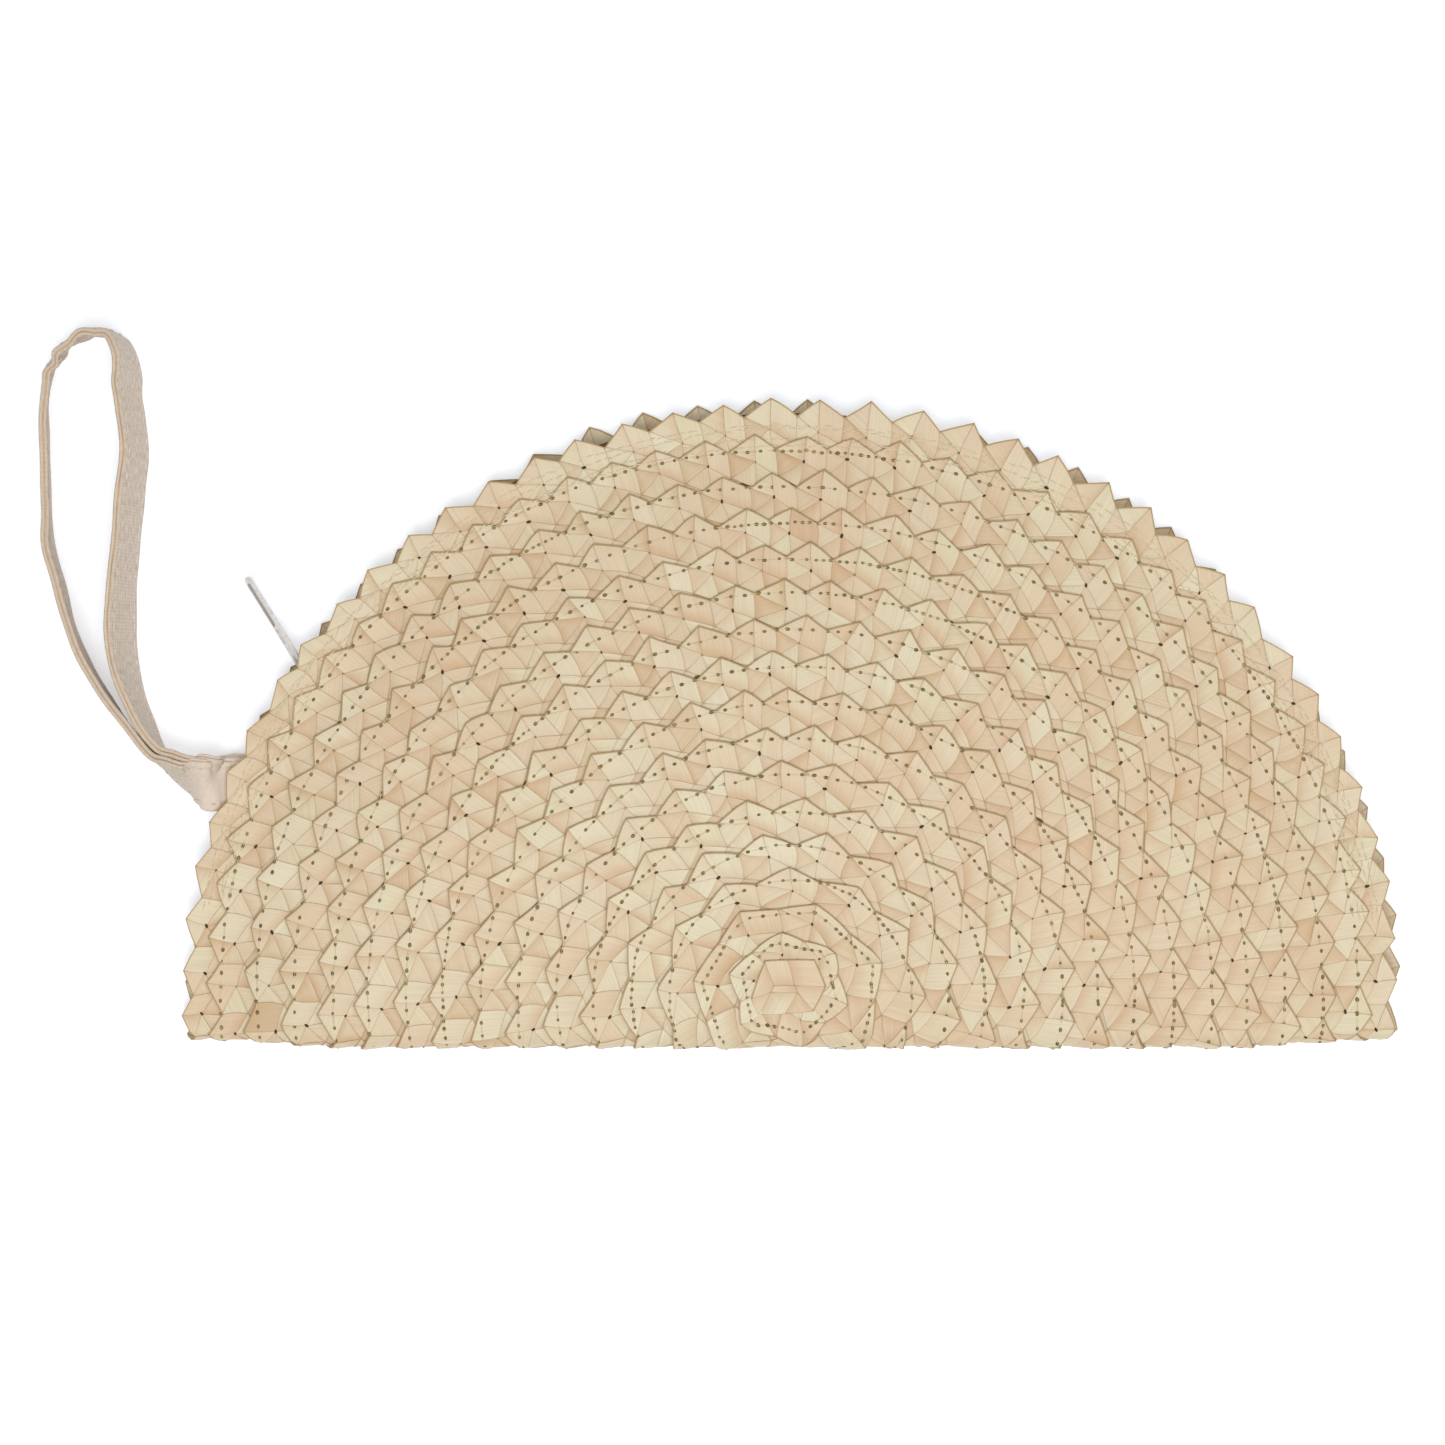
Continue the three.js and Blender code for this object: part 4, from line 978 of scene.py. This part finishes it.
outs = np.stack([0 * turns, 0 * turns, -side], axis=-1)
size = (COIL_WIRE, CHAIN_THICKNESS / 2, half_loop)
coil = copies("zip_coil", coil_loop(), np.stack([x, y, z], axis=-1), along, outs, size)
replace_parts(finished(coil, nylon, "clutch"), "zip_chain")

# The slider
# A white enamelled die casting on the closed end of the coil: a shield outside, a plate inside, the divider
# between them, and the bail that the pull hangs on.
SLIDER_PLATE = 0.9
SHIELD_NOSE, SHIELD_TAIL, NOSE_WIDTH, TAIL_WIDTH = 0.45, 0.55, 0.32, 0.36  # shares of its length and width
DIVIDER_WIDTH = 2.4
BAIL_LENGTH = 6.4
BAIL_WIRE = 1
BAIL_OPENING = 3.1
BAIL_CORNER = 1.3
PIVOT_HEIGHT = 1.9
ENAMEL_BEVEL = 0.22
CASTING_CREASE = 35  # degrees over which two faces meet in a sharp edge


def curve_mesh(paths, **settings):
    """The mesh that a curve with these settings makes along paths, which are closed where it is flat."""
    curve = bpy.data.curves.new("outline", "CURVE")
    for name, value in settings.items():
        setattr(curve, name, value)
    for path in paths:
        spline = curve.splines.new("POLY")
        spline.points.add(len(path) - 1)
        for point, (x, y) in zip(spline.points, path):
            point.co = (x, y, 0, 1)
        spline.use_cyclic_u = curve.dimensions == "2D"
    maker = bpy.data.objects.new("outline", curve)
    mesh = bpy.data.meshes.new_from_object(maker)
    bpy.data.objects.remove(maker)
    return mesh


def cut_plate(outlines, thickness, bevel):
    """A plate with rounded edges from closed outlines, the first its rim and the others holes."""
    sizes = {"extrude": thickness / 2 - bevel, "bevel_depth": bevel, "offset": -bevel}
    return curve_mesh(outlines, dimensions="2D", fill_mode="BOTH", bevel_resolution=2, **sizes)


def arc(x, y, radius, start, end, steps=10):
    turns = np.radians(np.linspace(start, end, steps + 1))
    return [(x + radius * math.cos(turn), y + radius * math.sin(turn)) for turn in turns]


def joined(name, meshes, matrix):
    """Meshes in millimetres as one object, put in their place."""
    bm = bmesh.new()
    for mesh in meshes:
        bm.from_mesh(mesh)
    bmesh.ops.remove_doubles(bm, verts=bm.verts[:], dist=1e-4)
    bmesh.ops.transform(bm, matrix=Matrix.Scale(MM, 4) @ matrix, verts=bm.verts[:])
    made = made_object(name, bm)
    made.data.set_sharp_from_angle(angle=math.radians(CASTING_CREASE))
    return made


def rounded_block(size, centre):
    bm = bmesh.new()
    bmesh.ops.create_cube(bm, size=1)
    bmesh.ops.scale(bm, verts=bm.verts[:], vec=size)
    bmesh.ops.translate(bm, verts=bm.verts[:], vec=centre)
    bmesh.ops.bevel(bm, geom=bm.edges[:], offset=ENAMEL_BEVEL, segments=3, affect="EDGES", profile=0.5)
    return small_mesh(bm)


def bail():
    """A round wire arch over the shield, X along the slider and Y out of the bag."""
    radius = BAIL_WIRE / 2
    reach = BAIL_LENGTH / 2 - radius
    top = CLEARANCE + SLIDER_PLATE + BAIL_OPENING + radius
    path = [(-reach, CLEARANCE + SLIDER_PLATE / 2)]
    path += arc(BAIL_CORNER - reach, top - BAIL_CORNER, BAIL_CORNER, 180, 90)
    path += arc(reach - BAIL_CORNER, top - BAIL_CORNER, BAIL_CORNER, 90, 0)
    path += [(reach, CLEARANCE + SLIDER_PLATE / 2)]
    return curve_mesh([path], dimensions="3D", bevel_depth=radius, bevel_resolution=4, use_fill_caps=True)


def shield_outline():
    half = SLIDER_LENGTH / 2
    width = CHAIN_WIDTH + 2 * (CLEARANCE + TAPE_THICKNESS)
    side = [(half, TAIL_WIDTH * width), (SHIELD_TAIL * half, width / 2), (-SHIELD_NOSE * half, width / 2)]
    for share in np.linspace(0.1, 1, 8):
        x = -half * (SHIELD_NOSE * (1 - share) ** 2 + 2 * share * (1 - share) + share**2)
        y = width * (0.5 * (1 - share) ** 2 + share * (1 - share) + NOSE_WIDTH * share**2)
        side.append((x, y))
    return side + [(x, -y) for x, y in reversed(side)]




def slider_matrix():
    angle = math.radians(SLIDER_ANGLE)
    x, _s, y = rim_place(angle, ZIP_INSET)
    ahead_x, _s, ahead_y = rim_place(angle - math.radians(1), ZIP_INSET)
    turn = math.atan2(ahead_y - y, ahead_x - x)
    return Matrix.Translation((x, y, chain_middle(angle))) @ Matrix.Rotation(turn, 4, "Z")


shield = cut_plate([shield_outline()], SLIDER_PLATE, ENAMEL_BEVEL)
lay_across = Matrix.Rotation(math.pi / 2, 4, "X")
shield.transform(Matrix.Translation((0, CLEARANCE + SLIDER_PLATE / 2, 0)) @ lay_across)
inner_face = -CHAIN_THICKNESS - CLEARANCE
inner_plate = rounded_block((SLIDER_LENGTH, SLIDER_PLATE, CHAIN_WIDTH), (0, inner_face - SLIDER_PLATE / 2, 0))
divider = rounded_block(
    (DIVIDER_LENGTH, CHAIN_THICKNESS + 2 * CLEARANCE + SLIDER_PLATE, DIVIDER_WIDTH),
    ((DIVIDER_LENGTH - SLIDER_LENGTH) / 2, (CLEARANCE + inner_face) / 2, 0),
)
# Stoved white enamel on metal: glossy, a touch uneven, greyer and duller in faint scuffs
enamel_tones = ((0.3, "#b6b0ab"), (0.45, "#d0cbc6"), (0.7, "#d8d4cf"))
scuffs = (0.3, 0.6, 0.5, 0.28)
enamel = mottled("white_enamel", 900.0, 6.0, enamel_tones, {"Coat Weight": 0.25}, (0.12, 0.0001), scuffs)
slider = joined("slider", [shield, inner_plate, divider, bail()], slider_matrix())
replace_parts(finished(slider, enamel, "clutch"), "zip_slider")

# The pull
# A long narrow tab of the same white enamelled metal, with an eye round the bail, a sunk panel and a slot.
PULL_LENGTH = 29
PULL_WIDTH = 4.8
PULL_THICKNESS = 1
PULL_CORNER = 0.8
PULL_ARM = 1.15
PULL_EYE_LENGTH = 5
PULL_WEB_LENGTH = 9.5
PULL_TIP = 1.6
PULL_PANEL = (9.4, 13.6, 0.5)  # from and to along the tab, and the thickness left there
PANEL_BEVEL = 0.05
PANEL_LAP = 0.3  # how far the thin panel reaches under the tab round it
PULL_DIRECTION = 121.9
PULL_ROLL = 20
SLOT_SHADE_WIDTH = 0.1  # mm of painted shade on the slot's walls: a dark grey band
SLOT_LAP = 0.02  # how far it reaches into the tab


def slot_painted_shade():
    """Painted shade: a dull grey on the slot's walls that makes the slot read as a dark line from above."""
    made, tree = new_material("slot_wall_painted_shade")
    inputs = {"Base Color": colour("#9d9894"), "Metallic": 0.2, "Roughness": 0.6}
    shader = add_node(tree, "ShaderNodeBsdfPrincipled", inputs)
    add_node(tree, "ShaderNodeOutputMaterial", {"Surface": shader.outputs["BSDF"]})
    return made


def slot_outline(start, end, width):
    radius = width / 2
    return arc(start + radius, 0, radius, 90, 270) + arc(end - radius, 0, radius, -90, 90)


pull_half = PULL_WIDTH / 2
pull_start = -PULL_ARM / 2
pull_opening = PULL_WIDTH - 2 * PULL_ARM
slot_start, slot_end = PULL_EYE_LENGTH + PULL_WEB_LENGTH, PULL_LENGTH - PULL_TIP
panel_from, panel_to, panel_thickness = PULL_PANEL
pull_rim = arc(PULL_LENGTH - pull_half, 0, pull_half, -90, 90, 16)
pull_rim += arc(pull_start + PULL_CORNER, pull_half - PULL_CORNER, PULL_CORNER, 90, 180, 4)
pull_rim += arc(pull_start + PULL_CORNER, PULL_CORNER - pull_half, PULL_CORNER, 180, 270, 4)
pull_outlines = [
    pull_rim,
    slot_outline(PULL_ARM / 2, PULL_ARM / 2 + PULL_EYE_LENGTH, pull_opening),
    slot_outline(panel_from, panel_to, pull_opening),
    slot_outline(slot_start, slot_end, pull_opening),
]
panel_outline = slot_outline(panel_from - PANEL_LAP, panel_to + PANEL_LAP, pull_opening + 2 * PANEL_LAP)
bail_middle = slider_matrix() @ Matrix.Translation((0, CLEARANCE + SLIDER_PLATE + PIVOT_HEIGHT, 0))
pull_matrix = (
    Matrix.Translation(bail_middle.to_translation())
    @ Matrix.Rotation(math.radians(PULL_DIRECTION), 4, "Z")
    @ Matrix.Rotation(math.radians(90 + PULL_ROLL), 4, "X")
)
tab = cut_plate(pull_outlines, PULL_THICKNESS, ENAMEL_BEVEL)
panel = cut_plate([panel_outline], panel_thickness, PANEL_BEVEL)
pull = joined("pull_tab", [tab, panel], pull_matrix)
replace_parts(finished(pull, enamel, "pull"), "zip_pull")

# Painted shade: a thin grey lining on the slot's walls
wall_outlines = [
    slot_outline(slot_start - SLOT_LAP, slot_end + SLOT_LAP, pull_opening + 2 * SLOT_LAP),
    slot_outline(slot_start + SLOT_SHADE_WIDTH, slot_end - SLOT_SHADE_WIDTH, pull_opening - 2 * SLOT_SHADE_WIDTH),
]
slot_wall = joined("pull_slot_wall", [cut_plate(wall_outlines, PULL_THICKNESS - 0.1, SLOT_LAP)], pull_matrix)
finished(slot_wall, slot_painted_shade(), "pull")

# The wrist strap
# A strip of unbleached cotton canvas with its edges turned in, folded lengthwise and topstitched along both
# edges. It stands on edge in a loop, and its two ends lie face to face in the seam at the left.
STRAP_WIDTH = 14.5
STRAP_THICKNESS = 2.2
STRAP_REACH = 114.7
STRAP_TAIL = 9
STRAP_SEAM_ANGLE = 158.6
STRAP_SEAM_INSET = 2.2
STRAP_ENTRY_ANGLE = -9.6
STRAP_LIFT_START = 0.35
STRAP_TURN_TENSION = 0.4
STRAP_STEP = 0.8  # along the strap
# Route of the loop as shares of its reach: across, up, and the turn from standing on edge (0) to flat (90)
STRAP_ENDS = (
    (0, 0, 90), (-0.03, -0.001, 88), (-0.06, 0.001, 56), (-0.095, 0.018, 27), (-0.135, 0.042, 13),
    (-0.166, 0.062, 3),
)
STRAP_LOOP = (
    (-0.223, 0.108, 5), (-0.277, 0.181, 4), (-0.326, 0.263, 3), (-0.361, 0.347, 2.5), (-0.384, 0.436, 2),
    (-0.407, 0.52, 3), (-0.411, 0.593, 5), (-0.416, 0.752, 7), (-0.416, 0.841, 8), (-0.405, 0.903, 8),
    (-0.383, 0.947, 7), (-0.35, 0.978, 6), (-0.31, 0.993, 4), (-0.272, 0.992, 5), (-0.246, 0.962, 10),
    (-0.232, 0.907, 15), (-0.226, 0.823, 18), (-0.219, 0.741, 17), (-0.226, 0.648, 17), (-0.235, 0.538, 17),
    (-0.246, 0.42, 19), (-0.246, 0.299, 20), (-0.23, 0.219, 15), (-0.2, 0.14, 8),
)
# Half of its section, from the slit between the two turned edges round to the folded edge: width, thickness
STRAP_SECTION = (
    (6.2, 0.0), (6.75, 0.1), (7.1, 0.24), (7.25, 0.55), (7.12, 0.88), (6.8, 1.06), (6.3, 1.1), (5.8, 1.04),
    (5.45, 0.92), (5.25, 0.86), (5.05, 0.92), (4.6, 1.0), (3.2, 1.02), (1.6, 0.98), (0.0, 0.96), (-1.6, 0.98),
    (-3.2, 1.02), (-4.6, 1.0), (-5.05, 0.92), (-5.25, 0.86), (-5.45, 0.92), (-6.0, 1.0), (-6.6, 0.95),
    (-7.0, 0.7), (-7.2, 0.35), (-7.25, 0.0),
)
# Creases where the loop bends: place along the strap as a share, depth and reach
STRAP_CREASES = (
    (0.429, -0.5, 1.9), (0.4385, 0.8, 1.5), (0.4475, -0.6, 1.6), (0.462, 0.35, 1.8), (0.474, -0.5, 2.2),
    (0.488, 0.55, 2.0), (0.542, 0.7, 3.4), (0.6, -0.3, 5.0),
)
CREASE_SKEW = 0.25
STRAP_WAVES = ((0.22, 5.1, 0, 0.2), (0.16, 2.3, 1, -0.25))  # depth, reach, start and skew
STRAP_HELD = (0.02, 0.12)  # share of it, from each end, over which the seam lets it go
TURNED_EDGE = (2, 7)  # mm from its middle, where the turned-in edge begins and ends
EDGE_WAVES = ((0.1, 1.9, 2), (0.2, 1.7, 1))  # depth, reach and start: everywhere, and where it lies flat
STRAP_LAYERING = 0.5  # how far each layer at the seam stands out beyond the one above it, as a share
STRAP_STITCH = 3.0
STRAP_STITCH_LINE = 5.25
STRAP_STITCH_LIFT = 0.9
STRAP_THREAD = (1.25, 0.22, 0.2)


def curve_through(points, shares, tension=None):
    """Points of a Catmull-Rom curve, centripetal unless it has a tension."""
    ends = np.vstack([2 * points[0] - points[1], points, 2 * points[-1] - points[-2]])
    at = np.clip(shares, 0, 1) * (len(points) - 1)
    first = np.minimum(at.astype(int), len(points) - 2)
    w = (at - first)[:, None]
    p0, p1, p2, p3 = (ends[first + k] for k in range(4))
    if tension is None:
        d0, d1, d2 = (
            np.sum((b - a) ** 2, axis=1, keepdims=True) ** 0.25 for a, b in ((p0, p1), (p1, p2), (p2, p3))
        )
        t1 = d1 * ((p1 - p0) / d0 - (p2 - p0) / (d0 + d1) + (p2 - p1) / d1)
        t2 = d1 * ((p2 - p1) / d1 - (p3 - p1) / (d1 + d2) + (p3 - p2) / d2)
    else:
        t1, t2 = tension * (p2 - p0), tension * (p3 - p1)
    return p1 + w * t1 + w**2 * (3 * (p2 - p1) - 2 * t1 - t2) + w**3 * (2 * (p1 - p2) + t1 + t2)


def strap_height(turn):
    """Height of the strap's middle: on the floor where it stands, between the rims where it lies flat."""
    flat = np.abs(np.sin(turn))
    standing = STRAP_WIDTH / 2 * np.abs(np.cos(turn)) + STRAP_THICKNESS / 2 * flat
    lift = RIM_THICKNESS / 2 - STRAP_THICKNESS / 2 - CLEARANCE
    return CLEARANCE + standing + lift * smoothstep(flat, STRAP_LIFT_START, 1)


def strap_stations():
    """Middle of the strap, the way of its width and the way along it, at each step round the closed loop."""
    seam_x, _s, seam_y = rim_place(math.radians(STRAP_SEAM_ANGLE), STRAP_SEAM_INSET)
    entry = math.radians(STRAP_ENTRY_ANGLE)
    inwards = np.array([math.cos(entry), math.sin(entry), 0])
    sideways = np.array([-inwards[1], inwards[0], 0])
    pair = STRAP_THICKNESS + CLEARANCE

    def centres(table):
        across, up, turn = np.array(table, float).T
        height = strap_height(np.radians(turn))
        return np.stack([seam_x + across * STRAP_REACH, seam_y + up * STRAP_REACH, height], axis=-1), turn

    middle, turn = centres(STRAP_ENDS)
    way = np.vstack([-inwards, middle[2:] - middle[:-2], middle[-1] - middle[-2]])
    way[:, 2] = 0
    way = unit(way)
    right = np.stack([way[:, 1], -way[:, 0], 0 * turn], axis=-1)
    rad = np.radians(turn)[:, None]
    thick = np.array([0, 0, 1]) * np.sin(rad) - right * np.cos(rad)
    loop, loop_turn = centres(STRAP_LOOP)
    route = np.vstack([middle + thick * pair / 2, loop, (middle - thick * pair / 2)[::-1]])
    turns = np.concatenate([turn, loop_turn, -turn[::-1]])
    turns = np.stack([np.arange(len(turns)), turns], axis=-1)

    length = np.sum(np.linalg.norm(np.diff(route, axis=0), axis=1))
    shares = np.linspace(0, 1, round(length / STRAP_STEP) + 1)
    centre = curve_through(route, shares)
    way = unit(curve_through(route, shares + 1e-4) - curve_through(route, shares - 1e-4))
    turn = np.radians(curve_through(turns, shares, STRAP_TURN_TENSION)[:, 1:])
    right = unit(np.stack([way[:, 1], -way[:, 0], 0 * way[:, 0]], axis=-1))
    width = np.array([0, 0, 1]) * np.cos(turn) + right * np.sin(turn)
    width = unit(width - way * np.sum(width * way, axis=1, keepdims=True))

    # The tail inside the seam runs in along the lower end and turns back along the upper one
    between = (centre[0] + centre[-1]) / 2
    run = np.linspace(0.15, 1, 8)[:, None]
    bend = np.radians(np.linspace(-90, 90, 13))[:, None]
    tail_bend = between + inwards * (STRAP_TAIL + pair / 2 * np.cos(bend))
    tail_bend = tail_bend + np.array([0, 0, pair / 2]) * np.sin(bend)
    tail_in = centre[-1] + (tail_bend[0] - centre[-1]) * run[:-1]
    tail_out = tail_bend[-1] + (centre[0] - tail_bend[-1]) * run[:-1]
    bend_way = -inwards * np.sin(bend) + np.array([0, 0, 1]) * np.cos(bend)
    centre = np.vstack([centre, tail_in, tail_bend, tail_out])
    inside, outside = (np.tile(tail_way, (len(tail_in), 1)) for tail_way in (inwards, -inwards))
    way = np.vstack([way, inside, bend_way, outside])
    width = np.vstack([width, np.tile(sideways, (len(centre) - len(width), 1))])
    return centre, width, way


strap_centre, strap_width, strap_way = strap_stations()
strap_thick = unit(np.cross(strap_way, strap_width))
strap_run = np.concatenate([[0], np.cumsum(np.linalg.norm(np.diff(strap_centre, axis=0), axis=1))])
strap_length = strap_run[-1] + np.linalg.norm(strap_centre[0] - strap_centre[-1])
strap_share = strap_run / strap_length


def strap_soft(share, w):
    """How far the soft cloth stands off its route at w across it: slow waves, and creases where it bends."""
    run = share * strap_length
    held = smoothstep(np.minimum(share, 1 - share), *STRAP_HELD)
    waves = sum(depth * np.sin(run / reach + start + skew * w) for depth, reach, start, skew in STRAP_WAVES)
    creases = 0
    for place, depth, reach in STRAP_CREASES:
        creases = creases + depth * np.exp(-(((run - place * strap_length + CREASE_SKEW * w) / reach) ** 2))
    return held * (waves * np.abs(w) / STRAP_WIDTH + creases)


section = np.array(STRAP_SECTION, float)
section = np.vstack([section, section[-2:0:-1] * (1, -1)])


def strap_point(around, along):
    ring = np.rint(around * len(section)).astype(int) % len(section)
    step = np.rint(along * len(strap_centre)).astype(int) % len(strap_centre)
    w, t = section[ring].T
    run = strap_share[step] * strap_length
    flat = smoothstep(1 - np.abs(strap_width[step, 2]), STRAP_LIFT_START, 0.9)
    turned_in = smoothstep(w, *TURNED_EDGE)
    always, lying = (depth * np.sin(run / reach + start * np.sign(t)) for depth, reach, start in EDGE_WAVES)
    waves = always + flat * lying
    level = STRAP_THICKNESS + strap_thick[step, 2] * (t - (STRAP_THICKNESS + CLEARANCE) / 2)
    t = t + strap_soft(strap_share[step], w)
    w = w + turned_in * (waves - STRAP_LAYERING * flat * level)
    return strap_centre[step] + strap_width[step] * w[:, None] + strap_thick[step] * t[:, None]


section_run = np.linalg.norm(np.diff(section, axis=0, append=section[:1]), axis=1)
section_run = np.concatenate([[0], np.cumsum(section_run)])


def strap_cloth(around, along):
    return section_run[np.rint(around * len(section)).astype(int)], along * strap_length


strap = surface("canvas_strap", len(section), len(strap_centre), strap_point, strap_cloth)
# The turned-in edges are warmer, and the ends beside the seam are painted lighter: painted light that the
# seam gets
canvas_tints = (
    ("X", section_run[-1], 2.3, 0.85, "#e2ccb0"),
    ("Y", strap_length - 2 * STRAP_TAIL, 34, 1.0, "#eddccb"),
)
canvas = woven_cloth("unbleached_cotton_canvas", "#d3c3b1", "#ac9c8c", 0.00012, canvas_tints)
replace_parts(finished(strap, canvas, "clutch"), "wrist_strap")

sewn = np.arange(STRAP_STITCH, strap_length - 2 * (STRAP_TAIL + STRAP_STITCH), STRAP_STITCH)
step = np.rint(np.interp(sewn, strap_run, np.arange(len(strap_run)))).astype(int)
stitched = []
for line in (STRAP_STITCH_LINE, -STRAP_STITCH_LINE):
    soft = strap_soft(strap_share[step], line)
    for face in (1, -1):
        lift = (soft + face * STRAP_STITCH_LIFT)[:, None]
        places = strap_centre[step] + strap_width[step] * line + strap_thick[step] * lift
        stitched.append((places, strap_way[step], strap_thick[step] * face))
strap_stitches = copies("strap_stitches", bar_mesh, *end_to_end(stitched), STRAP_THREAD)
finished(strap_stitches, cotton_thread("strap_thread", "#e3d7c4", "#c6b8a2"), "clutch")

# The floor, lights and camera
# A seamless white surface under large soft lights, and a camera straight above, as in a catalogue picture.
MM_PER_PIXEL = 0.2537
PICTURE = 1445
DISC_CENTRE_PIXEL = (790, 1000)
LENS = 100.0
SENSOR = 36.0
SEEN_HEIGHT = 8  # the level that the scale of the picture is true for
FLOOR_SIZE = 6
FLOOR_LEVEL = -0.0002

bpy.context.scene.view_settings.view_transform = "Standard"  # the white floor stays white
bpy.ops.mesh.primitive_plane_add(size=FLOOR_SIZE, location=(0, 0, FLOOR_LEVEL))
floor = bpy.context.active_object
floor.name = "floor"
# White paper, which the lights bring just to white, so that only faint bluish shadows show
white, tree = new_material("white_paper")
inputs = {"Base Color": colour("#e9eef7"), "Roughness": 0.9}
inputs.update({"Emission Color": (1, 1, 1, 1), "Emission Strength": 0.36})
shader = add_node(tree, "ShaderNodeBsdfPrincipled", inputs)
add_node(tree, "ShaderNodeOutputMaterial", {"Surface": shader.outputs["BSDF"]})
floor.data.materials.append(white)

world = bpy.data.worlds.new("studio")
bpy.context.scene.world = world
world.use_nodes = True
background = world.node_tree.nodes["Background"]
background.inputs["Color"].default_value = (1, 1, 1, 1)
background.inputs["Strength"].default_value = 0.45


def softbox(name, place, size, power):
    light = bpy.data.lights.new(name, "AREA")
    light.shape = "SQUARE"
    light.size = size
    light.energy = power
    made = bpy.data.objects.new(name, light)
    made.location = place
    made.rotation_euler = (-Vector(place)).to_track_quat("-Z", "Y").to_euler()
    bpy.context.scene.collection.objects.link(made)


softbox("key", (-0.05, -0.5, 1.5), 0.8, 14.2)
softbox("fill", (0.9, 0.5, 1.3), 1.2, 6)

centre_x = (PICTURE / 2 - DISC_CENTRE_PIXEL[0]) * MM_PER_PIXEL
disc_centre_y = FOLDED_EDGE_Y + FOLD_THICKNESS / 2 + FOLD_TO_CENTRE - BEND_LENGTH
centre_y = disc_centre_y + (DISC_CENTRE_PIXEL[1] - PICTURE / 2) * MM_PER_PIXEL
distance = PICTURE * MM_PER_PIXEL / 2 / (SENSOR / 2 / LENS)
camera = bpy.data.objects.new("camera", bpy.data.cameras.new("camera"))
camera.data.lens = LENS
camera.data.sensor_width = SENSOR
camera.data.clip_start = 0.05
camera.location = (centre_x * MM, centre_y * MM, (distance + SEEN_HEIGHT) * MM)
bpy.context.scene.collection.objects.link(camera)
bpy.context.scene.camera = camera

bpy.context.view_layer.update()
